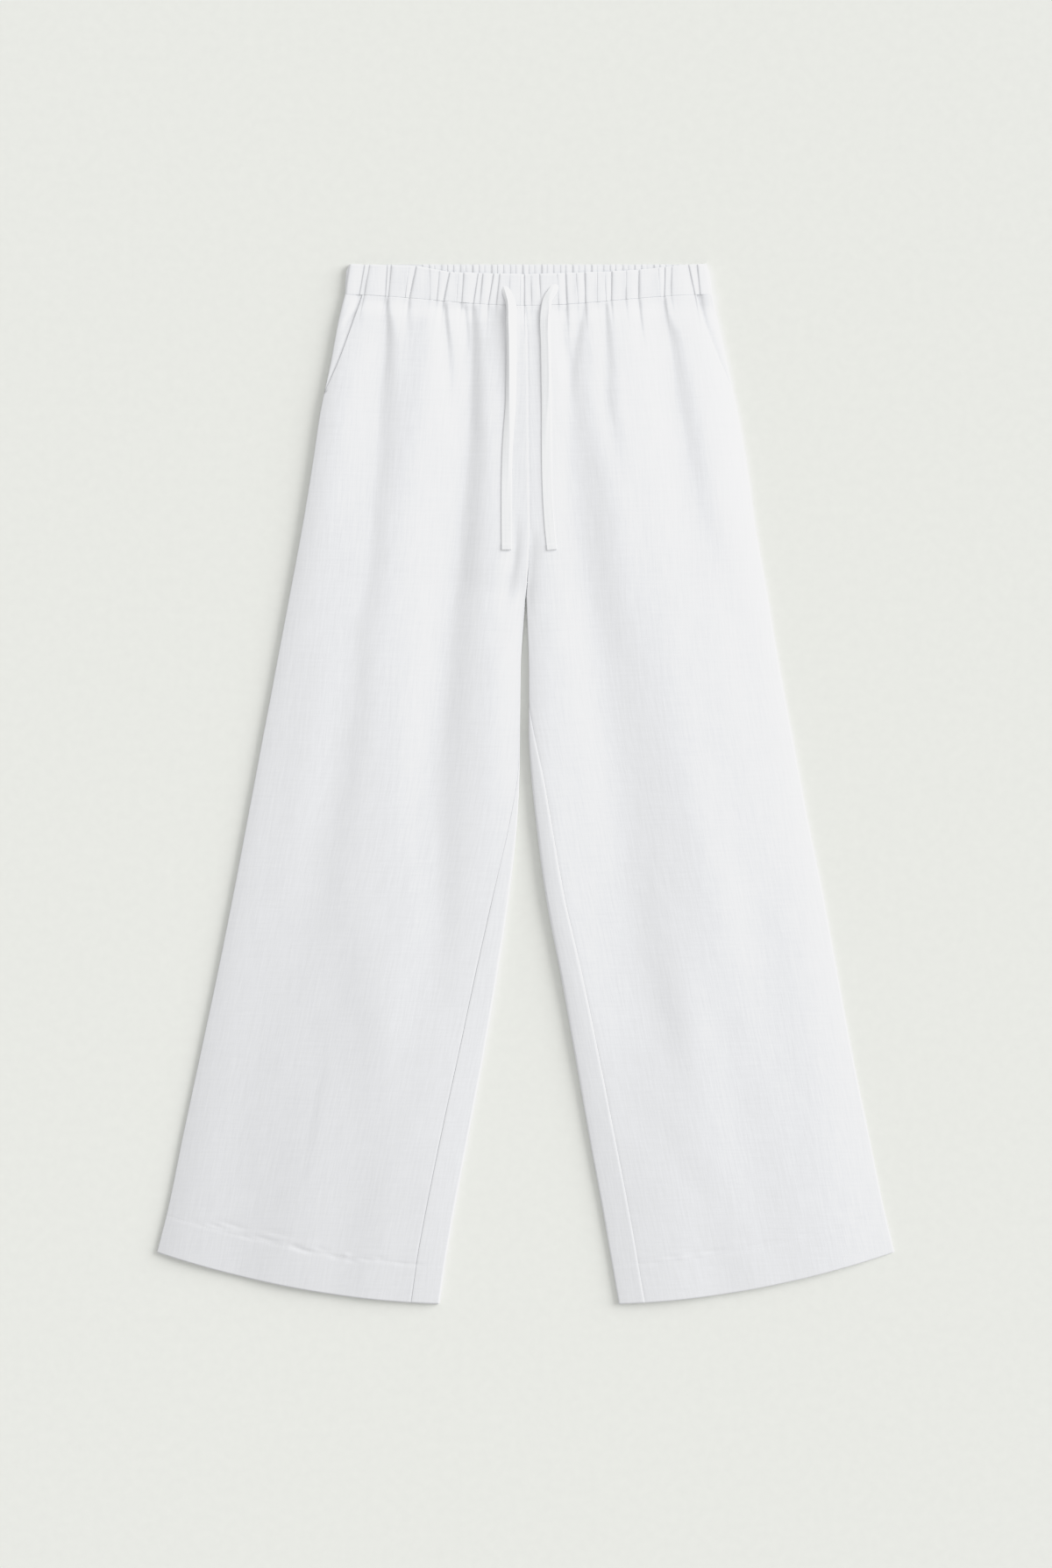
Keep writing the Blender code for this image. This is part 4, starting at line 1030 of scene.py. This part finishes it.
def closed_tube(name, rings, places, material):
    """A tube through rings of points, closed at both ends."""
    count, around = rings.shape[:2]
    ids = np.arange(count * around).reshape(count, around)
    onward = np.roll(ids, -1, axis=1)
    quads = np.stack([ids[:-1], onward[:-1], onward[1:], ids[1:]], axis=2).reshape(-1, 4).tolist()
    for ring in (0, -1):
        for number in range(around // 2 - 1):
            quads.append(ids[ring, [number, number + 1, -2 - number, -1 - number]].tolist())
    return closed_piece(name, rings.reshape(-1, 3), quads, places, material)


LengthProperty = partial(FloatProperty, unit="LENGTH", precision=5)
AngleProperty = partial(FloatProperty, subtype="ANGLE")
ColourProperty = partial(FloatVectorProperty, subtype="COLOR", min=0, max=1)


class ClothSettings(bpy.types.PropertyGroup):
    """The cloth of the legs, and how it is sewn."""

    thickness: LengthProperty(
        name="Cloth Thickness", description="Thickness of one layer of the linen", default=0.0008,
        min=0.0003, max=0.002)
    hem_step: LengthProperty(
        name="Hem Step", description="How far the turned up hem stands above the cloth over it",
        default=0.0001, min=0, max=0.003)
    stitch_groove: LengthProperty(
        name="Stitch Groove", description="How deep the hem's stitching sinks", default=0.00025, min=0,
        max=0.001)
    wave_height: LengthProperty(
        name="Wave Height", description="Height of the soft waves all over the legs", default=0.00011,
        min=0, max=0.001)
    seam_roll: LengthProperty(
        name="Seam Roll", description="How far the edges roll in beside a seam", default=0.00018, min=0,
        max=0.001)
    seam_roll_width: LengthProperty(
        name="Seam Roll Width", description="How wide that roll is", default=0.0012, min=0.0003, max=0.004)
    seam_press: LengthProperty(
        name="Inseam Step", description="How far the back stands above the front beside the inseams",
        default=0.00015, min=0, max=0.001)
    colour: ColourProperty(
        name="Cloth Colour", description="Colour of the linen", default=(0.850, 0.857, 0.874))
    weave_pitch: LengthProperty(
        name="Weave Pitch", description="Distance between the linen's threads", default=0.00056, min=0.0002,
        max=0.003)


class WaistbandSettings(bpy.types.PropertyGroup):
    """The gathered waistband."""

    puff_most: LengthProperty(
        name="Greatest Puff", description="Height of the widest pleats over their grooves", default=0.0010,
        min=0, max=0.005)
    puff_least: LengthProperty(
        name="Least Puff", description="Height of the narrowest pleats over their grooves", default=0.00015,
        min=0, max=0.005)
    puff_per_pitch: FloatProperty(
        name="Puff for Width", description="How much higher a pleat stands for its width", default=0.075,
        min=0, max=1)
    puff_rise: FloatProperty(
        name="Steep Share", description="Share of a pleat's width over which it rises from its gather",
        default=0.14, min=0.05, max=0.5)
    column_spacing: LengthProperty(
        name="Column Spacing", description="Distance between the band's columns of points", default=0.0008,
        min=0.0004, max=0.003)
    colour: ColourProperty(
        name="Band Colour", description="Colour of the waistband's linen", default=(0.838, 0.845, 0.862))


class DrawstringSettings(bpy.types.PropertyGroup):
    """The two free ends of the drawstring."""

    thickness: LengthProperty(
        name="Tape Thickness", description="Thickness of the sewn tape", default=0.0006, min=0.0005,
        max=0.003)
    end_fold: FloatProperty(
        name="End Fold", description="How much thicker the turned in end is, as a share", default=0.7,
        min=0, max=2)
    colour: ColourProperty(
        name="Tape Colour", description="Colour of the tapes", default=(0.880, 0.888, 0.896))


class StitchSettings(bpy.types.PropertyGroup):
    """The rows of stitches."""

    pitch: LengthProperty(
        name="Stitch Pitch", description="Distance from one stitch to the next", default=0.003, min=0.001,
        max=0.008)
    length: LengthProperty(
        name="Stitch Length", description="Length of the thread that shows in each stitch", default=0.0023,
        min=0.0005, max=0.006)
    radius: LengthProperty(
        name="Thread Radius", description="Half the thread's thickness", default=0.00015, min=0.00005,
        max=0.001)
    colour: ColourProperty(
        name="Thread Colour", description="Colour of the sewing thread", default=(0.835, 0.842, 0.856))


class StageSettings(bpy.types.PropertyGroup):
    """The pale studio round the trousers."""

    floor_colour: ColourProperty(
        name="Floor Colour", description="Colour of the surface under the trousers",
        default=(0.809, 0.818, 0.778))
    camera_height: LengthProperty(
        name="Camera Height", description="Height of the camera over the surface", default=6.0, min=1,
        max=20)
    key_strength: FloatProperty(
        name="Key Strength", description="Strength of the large window light", default=2.62, min=0, max=20)
    key_elevation: AngleProperty(
        name="Key Elevation", description="How high the window light stands", default=math.radians(24),
        min=0.1, max=1.5)
    key_direction: AngleProperty(
        name="Key Direction", description="Where the window light comes from, turned from the right",
        default=math.radians(22), min=-3.2, max=3.2)
    key_softness: AngleProperty(
        name="Key Softness", description="How wide the window light looks", default=math.radians(42),
        min=0.01, max=3)
    fill_strength: FloatProperty(
        name="Fill Strength", description="Strength of the light from all round", default=0.665, min=0,
        max=5)


class TrousersSettings(bpy.types.PropertyGroup):
    """Everything that can be changed before the trousers are made."""

    cloth: PointerProperty(type=ClothSettings, name="Cloth", description="The cloth of the legs")
    waistband: PointerProperty(
        type=WaistbandSettings, name="Waistband", description="The gathered waistband")
    drawstring: PointerProperty(
        type=DrawstringSettings, name="Drawstring", description="The drawstring's ends")
    stitches: PointerProperty(type=StitchSettings, name="Stitches", description="The rows of stitches")
    stage: PointerProperty(type=StageSettings, name="Stage", description="Surface, camera and lights")


def fill_in(tree, sockets, values):
    """Sets or links sockets, by name or number."""
    for key, value in dict(values).items():
        if isinstance(value, bpy.types.NodeSocket):
            tree.links.new(value, sockets[key])
        else:
            sockets[key].default_value = value


def add_node(tree, kind, inputs=(), **values):
    """A new node, with its own settings by name, and its inputs set or linked."""
    made = tree.nodes.new(kind)
    for name, value in values.items():
        setattr(made, name, value)
    fill_in(tree, made.inputs, inputs)
    return made


def maths(tree, operation, *values):
    """The result of one sum, over sockets and numbers."""
    return add_node(tree, "ShaderNodeMath", enumerate(values), operation=operation).outputs[0]


def new_group(name, kind, inputs, outputs):
    """An empty node group with named sockets, its start and its end."""
    tree = bpy.data.node_groups.new(name, kind)
    for sockets, direction in ((inputs, "INPUT"), (outputs, "OUTPUT")):
        for socket, socket_type in sockets:
            tree.interface.new_socket(socket, in_out=direction, socket_type=socket_type)
    return tree, tree.nodes.new("NodeGroupInput").outputs, tree.nodes.new("NodeGroupOutput").inputs


def scaled(tree, colour, amount):
    """A colour made brighter or darker."""
    node = add_node(tree, "ShaderNodeVectorMath", {0: colour, "Scale": amount}, operation="SCALE")
    return node.outputs[0]


def streaks(tree, place, streak):
    """Noise drawn out into threads, from 0 to 1."""
    stretch = {0: place, 1: (streak.across, streak.along, 0)}
    stretched = add_node(tree, "ShaderNodeVectorMath", stretch, operation="MULTIPLY").outputs[0]
    inputs = {"Vector": stretched, "Scale": 1, "Detail": 3}
    return add_node(tree, "ShaderNodeTexNoise", inputs, noise_dimensions="2D").outputs[0]


def weave_group():
    """Linen's plain weave with its uneven threads, from a place on the cut cloth in metres, its colour scaled
    by a painted light falloff.
    """
    if "linen_weave" in bpy.data.node_groups:
        return bpy.data.node_groups["linen_weave"]
    tree, start, end = new_group(
        "linen_weave", "ShaderNodeTree",
        (("Place", "NodeSocketVector"), ("Colour", "NodeSocketColor"), ("Thread Pitch", "NodeSocketFloat"),
         ("Unevenness", "NodeSocketFloat"), ("Tone", "NodeSocketFloat")),
        (("Colour", "NodeSocketColor"), ("Height", "NodeSocketFloat"), ("Roughness", "NodeSocketFloat")))
    result = partial(maths, tree)
    place = start["Place"]
    split = add_node(tree, "ShaderNodeSeparateXYZ", {0: place}).outputs
    turn = result("DIVIDE", 2 * math.pi, start["Thread Pitch"])
    ridges = [result("SINE", result("MULTIPLY", turn, split[axis])) for axis in (0, 1)]
    threads = 0
    for streak in STREAKS:
        threads = result("MULTIPLY_ADD", streaks(tree, place, streak), streak.weight, threads)
    rumples = {"Vector": place, "Scale": RUMPLE_SCALE, "Detail": 3, "Roughness": 0.5}
    rumple = add_node(tree, "ShaderNodeTexNoise", rumples, noise_dimensions="2D").outputs[0]
    fine = result("MULTIPLY_ADD", result("MULTIPLY", *ridges), WEAVE_SHARE, threads)
    shade = result("MULTIPLY", result("SUBTRACT", threads, 1), start["Unevenness"])
    # Painted shade: the threads' uneven shade is multiplied by the painted falloff, darker towards the lower
    # left and the hems.
    shade = result("MULTIPLY", result("ADD", shade, 1), start["Tone"])
    fill_in(tree, end, {"Colour": scaled(tree, start["Colour"], shade),
                        "Height": result("MULTIPLY_ADD", rumple, RUMPLE_SHARE, fine),
                        "Roughness": result("MULTIPLY_ADD", threads, ROUGHNESS_CHANGE, ROUGHNESS)})
    return tree


def new_material(name):
    """A material with hardly any shine, its node tree and its shader's inputs."""
    material = bpy.data.materials.new(name)
    material.use_nodes = True
    sockets = material.node_tree.nodes["Principled BSDF"].inputs
    sockets["Specular IOR Level"].default_value = SPECULAR
    return material, material.node_tree, sockets


def linen_material(name, colour):
    """Linen of one colour, woven along the piece's own map of the cut cloth, with a painted shade that
    darkens it towards the lower left and the hems.
    """
    if name in bpy.data.materials:
        return bpy.data.materials[name]
    material, tree, sockets = new_material(name)
    world = add_node(tree, "ShaderNodeTexCoord").outputs["Object"]
    # Painted shade: a ramp over the piece's place, brighter towards the upper right, stands in for the window
    # light's falloff.
    painted_falloff_node = add_node(tree, "ShaderNodeVectorMath", {0: world, 1: PAINTED_FALLOFF_SLOPE}, operation="DOT_PRODUCT")
    inputs = {
        "Place": add_node(tree, "ShaderNodeUVMap", uv_map="cut_cloth").outputs[0],
        "Tone": maths(tree, "ADD", painted_falloff_node.outputs["Value"], PAINTED_FALLOFF_MIDDLE),
        "Colour": (*colour, 1),
        "Thread Pitch": settings().cloth.weave_pitch,
        "Unevenness": UNEVENNESS,
    }
    weave = add_node(tree, "ShaderNodeGroup", inputs, node_tree=weave_group()).outputs
    relief = {"Strength": 1, "Distance": THREAD_HEIGHT, "Height": weave["Height"]}
    bump = add_node(tree, "ShaderNodeBump", relief).outputs[0]
    fill_in(tree, sockets, {"Base Color": weave["Colour"], "Roughness": weave["Roughness"], "Normal": bump,
                            "Sheen Weight": SHEEN, "Sheen Roughness": 0.5})
    return material


def mottled_material(name, colour, scale, amount, roughness):
    """A plain colour with a faint mottle, for the thread and the floor."""
    material, tree, sockets = new_material(name)
    world = add_node(tree, "ShaderNodeTexCoord").outputs["Object"]
    noise = add_node(tree, "ShaderNodeTexNoise", {"Vector": world, "Scale": scale, "Detail": 3}).outputs[0]
    shade = maths(tree, "MULTIPLY_ADD", noise, amount, 1 - amount / 2)
    fill_in(tree, sockets, {"Base Color": scaled(tree, colour, shade), "Roughness": roughness})
    return material


def stitch_tree():
    """Rows of stitches: short rounded threads set along lines, one after another."""
    if "rows_of_stitches" in bpy.data.node_groups:
        return bpy.data.node_groups["rows_of_stitches"]
    tree, start, end = new_group(
        "rows_of_stitches", "GeometryNodeTree",
        (("Lines", "NodeSocketGeometry"), ("Pitch", "NodeSocketFloat"), ("Stitch Length", "NodeSocketFloat"),
         ("Thread Radius", "NodeSocketFloat"), ("Seed", "NodeSocketInt"), ("Thread", "NodeSocketMaterial")),
        (("Stitches", "NodeSocketGeometry"),))
    node = partial(add_node, tree)
    line = node("GeometryNodeMeshToCurve", {0: start["Lines"]}).outputs[0]
    spaced = {"Curve": line, "Length": start["Pitch"]}
    places = node("GeometryNodeCurveToPoints", spaced, mode="LENGTH").outputs
    turned = node("FunctionNodeAlignRotationToVector", {"Vector": places["Tangent"]}, axis="Z")
    shortest, longest = STITCH_SHARES
    chance = node("FunctionNodeRandomValue", {"Seed": start["Seed"]}, data_type="FLOAT").outputs[1]
    uneven = node("ShaderNodeMapRange", {"Value": chance, "To Min": shortest, "To Max": longest}).outputs[0]
    half = maths(tree, "MULTIPLY", start["Stitch Length"], 0.5)
    radius = start["Thread Radius"]
    size = node("ShaderNodeCombineXYZ", {0: radius, 1: radius, 2: maths(tree, "MULTIPLY", half, uneven)})
    faces = {"Segments": THREAD_SEGMENTS, "Rings": THREAD_RINGS, "Radius": 1}
    thread = node("GeometryNodeMeshUVSphere", faces).outputs["Mesh"]
    threads = node("GeometryNodeInstanceOnPoints", {
        "Points": places["Points"], "Instance": thread, "Rotation": turned.outputs[0],
        "Scale": size.outputs[0]})
    real = node("GeometryNodeRealizeInstances", {0: threads.outputs[0]}).outputs[0]
    tinted = node("GeometryNodeSetMaterial", {"Geometry": real, "Material": start["Thread"]}).outputs[0]
    tree.links.new(tinted, end["Stitches"])
    return tree


def stitch_row(name, line, seed, material):
    """Stitches along a line of points, made into a plain mesh."""
    sizes = settings().stitches
    mesh = bpy.data.meshes.new(name + "_line")
    mesh.from_pydata(line.tolist(), [(step, step + 1) for step in range(len(line) - 1)], [])
    maker = bpy.data.objects.new(name + "_line", mesh)
    bpy.context.scene.collection.objects.link(maker)
    modifier = maker.modifiers.new("stitches", "NODES")
    modifier.node_group = stitch_tree()
    values = {"Pitch": sizes.pitch, "Stitch Length": sizes.length, "Thread Radius": sizes.radius,
              "Seed": seed, "Thread": material}
    for item in modifier.node_group.interface.items_tree:
        if item.item_type == "SOCKET" and item.in_out == "INPUT" and item.name in values:
            modifier[item.identifier] = values[item.name]
    bpy.context.view_layer.update()
    graph = bpy.context.evaluated_depsgraph_get()
    stitched = bpy.data.meshes.new_from_object(maker.evaluated_get(graph))
    maker.modifiers.clear()
    bpy.data.objects.remove(maker)
    if len(stitched.polygons) == 0:
        raise RuntimeError("No stitches were made for " + name)
    stitched.name = name
    piece = add_piece(name, stitched, material)
    return piece


def found(name, wanted_for):
    """A piece that has to be there before another can be made."""
    piece = bpy.data.objects.get(name)
    if piece is None:
        raise RuntimeError(f"{name} has to be made before the {wanted_for}")
    return piece


def hold_highlights(view):
    """The plain view with a soft shoulder, so that slopes towards the window keep their cloth's tone."""
    view.view_transform = "Standard"
    view.use_curve_mapping = True
    mapping = view.curve_mapping
    mapping.extend = "HORIZONTAL"
    combined = mapping.curves[3]
    combined.points[-1].location = SHOULDER[-1]
    for light, shown in SHOULDER[:-1]:
        combined.points.new(light, shown)
    mapping.update()


class TROUSERS_OT_stage(bpy.types.Operator):
    """Make the pale surface, the camera straight above it, the window light and the fill"""

    bl_idname = "trousers.stage"
    bl_label = "Make Stage"

    def execute(self, context):
        sizes = settings().stage
        scene = context.scene
        hold_highlights(scene.view_settings)
        camera = bpy.data.objects.new("camera", bpy.data.cameras.new("camera"))
        camera.location = (CAMERA_X, CAMERA_Y, sizes.camera_height)
        camera.data.sensor_width = SENSOR
        camera.data.lens = SENSOR * sizes.camera_height / VIEW_HEIGHT
        camera.data.clip_end = SIGHT
        scene.camera = camera
        mesh = bpy.data.meshes.new("floor")
        half = FLOOR_SIZE / 2
        corners = ((-half, -half), (half, -half), (half, half), (-half, half))
        mesh.from_pydata([(x, y, FLOOR_Z) for x, y in corners], [], [(0, 1, 2, 3)])
        mesh.materials.append(mottled_material("floor", sizes.floor_colour, *FLOOR_LOOK))
        floor = bpy.data.objects.new("floor", mesh)
        lamp = bpy.data.lights.new("window_light", "SUN")
        lamp.energy = sizes.key_strength
        lamp.angle = sizes.key_softness
        key = bpy.data.objects.new("window_light", lamp)
        flat, turn = math.cos(sizes.key_elevation), sizes.key_direction
        towards = Vector((flat * math.cos(turn), flat * math.sin(turn), math.sin(sizes.key_elevation)))
        key.rotation_euler = towards.to_track_quat("Z", "Y").to_euler()
        key.location = towards * 3
        for thing in (camera, floor, key):
            scene.collection.objects.link(thing)
        scene.world = scene.world or bpy.data.worlds.new("studio")
        scene.world.use_nodes = True
        background = scene.world.node_tree.nodes["Background"]
        background.inputs["Color"].default_value = (1, 1, 1, 1)
        background.inputs["Strength"].default_value = sizes.fill_strength
        return {"FINISHED"}


class TROUSERS_OT_legs(bpy.types.Operator):
    """Make the four leg panels with their creases and turned up hems"""

    bl_idname = "trousers.legs"
    bl_label = "Make Legs"

    def execute(self, context):
        material = linen_material("woven_linen", settings().cloth.colour)
        thread = bpy.data.materials.get("thread")
        thread = thread or mottled_material("thread", settings().stitches.colour, *THREAD_LOOK)
        stitched = 1 - HEM_SHARE + STITCHES_DOWN / LEG_LENGTH
        for leg in legs():
            back = "leg_back_" + leg.name
            sides = (("leg_front_" + leg.name, leg.front_row, FRONT_ROWS, [back + "_cloth"]),
                     (back, leg.back_row, BACK_ROWS, []))
            for number, (node, row_at, rows, rests_on) in enumerate(sides):
                piece, grid = panel(node, row_at, leg_rows(*rows), material)
                hem = stitch_row(node + "_hem_stitches", row_at(stitched)[0], number + 1, thread)
        return {"FINISHED"}


class TROUSERS_OT_pockets(bpy.types.Operator):
    """Make the hip cloth beside and under the two slanted pocket mouths"""

    bl_idname = "trousers.pockets"
    bl_label = "Make Pockets"

    def execute(self, context):
        material = linen_material("woven_linen", settings().cloth.colour)
        for leg in legs():
            rows = [v for v in leg_rows(*FRONT_ROWS) if leg.mouth_in(v) > FINE_GAP]
            piece, grid = panel("pocket_side_" + leg.name, leg.side_piece_row, rows, material)
        return {"FINISHED"}


class TROUSERS_OT_waistband(bpy.types.Operator):
    """Make the gathered front and back of the waistband"""

    bl_idname = "trousers.waistband"
    bl_label = "Make Waistband"

    def execute(self, context):
        material = linen_material("woven_band", settings().waistband.colour)
        halves = (("waistband_front", front_band_row, INSIDE_STEP), ("waistband_back", back_band_row, 1))
        for node, row_at, step in halves:
            piece, grid = band(node + "_cloth", row_at, material, step)
            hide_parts(node)
        return {"FINISHED"}


class TROUSERS_OT_drawstring(bpy.types.Operator):
    """Make the two free ends of the drawstring, laid over the waistband and the fronts"""

    bl_idname = "trousers.drawstring"
    bl_label = "Make Drawstring"

    def execute(self, context):
        material = linen_material("woven_tape", settings().drawstring.colour)
        nodes = ("leg_front_right", "leg_front_left", "waistband_front", "waistband_back")
        under = [found(node + "_cloth", "drawstring") for node in nodes]
        for side in TAPES:
            piece, middle = tape(side, under, material)
            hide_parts("drawstring_" + side)
        return {"FINISHED"}


class TROUSERS_PT_sidebar(bpy.types.Panel):
    """The trousers' sizes, colours and operators"""

    bl_label = "Linen Trousers"
    bl_idname = "TROUSERS_PT_sidebar"
    bl_space_type = "VIEW_3D"
    bl_region_type = "UI"
    bl_category = "Trousers"

    def draw(self, context):
        for group in ("cloth", "waistband", "drawstring", "stitches", "stage"):
            box = self.layout.box()
            box.label(text=group.capitalize())
            values = getattr(settings(), group)
            for name in values.__annotations__:
                box.prop(values, name)
        for operator in OPERATORS:
            self.layout.operator(operator.bl_idname)


OPERATORS = (TROUSERS_OT_stage, TROUSERS_OT_legs, TROUSERS_OT_pockets, TROUSERS_OT_waistband,
             TROUSERS_OT_drawstring)
CLASSES = (ClothSettings, WaistbandSettings, DrawstringSettings, StitchSettings, StageSettings,
           TrousersSettings, *OPERATORS, TROUSERS_PT_sidebar)


def register():
    for kind in CLASSES:
        bpy.utils.register_class(kind)
    bpy.types.Scene.trousers = PointerProperty(type=TrousersSettings)


def unregister():
    del bpy.types.Scene.trousers
    for kind in reversed(CLASSES):
        bpy.utils.unregister_class(kind)


def main():
    register()
    bpy.ops.trousers.stage()
    bpy.ops.trousers.legs()
    bpy.ops.trousers.pockets()
    bpy.ops.trousers.waistband()
    bpy.ops.trousers.drawstring()


if __name__ == "__main__":
    main()
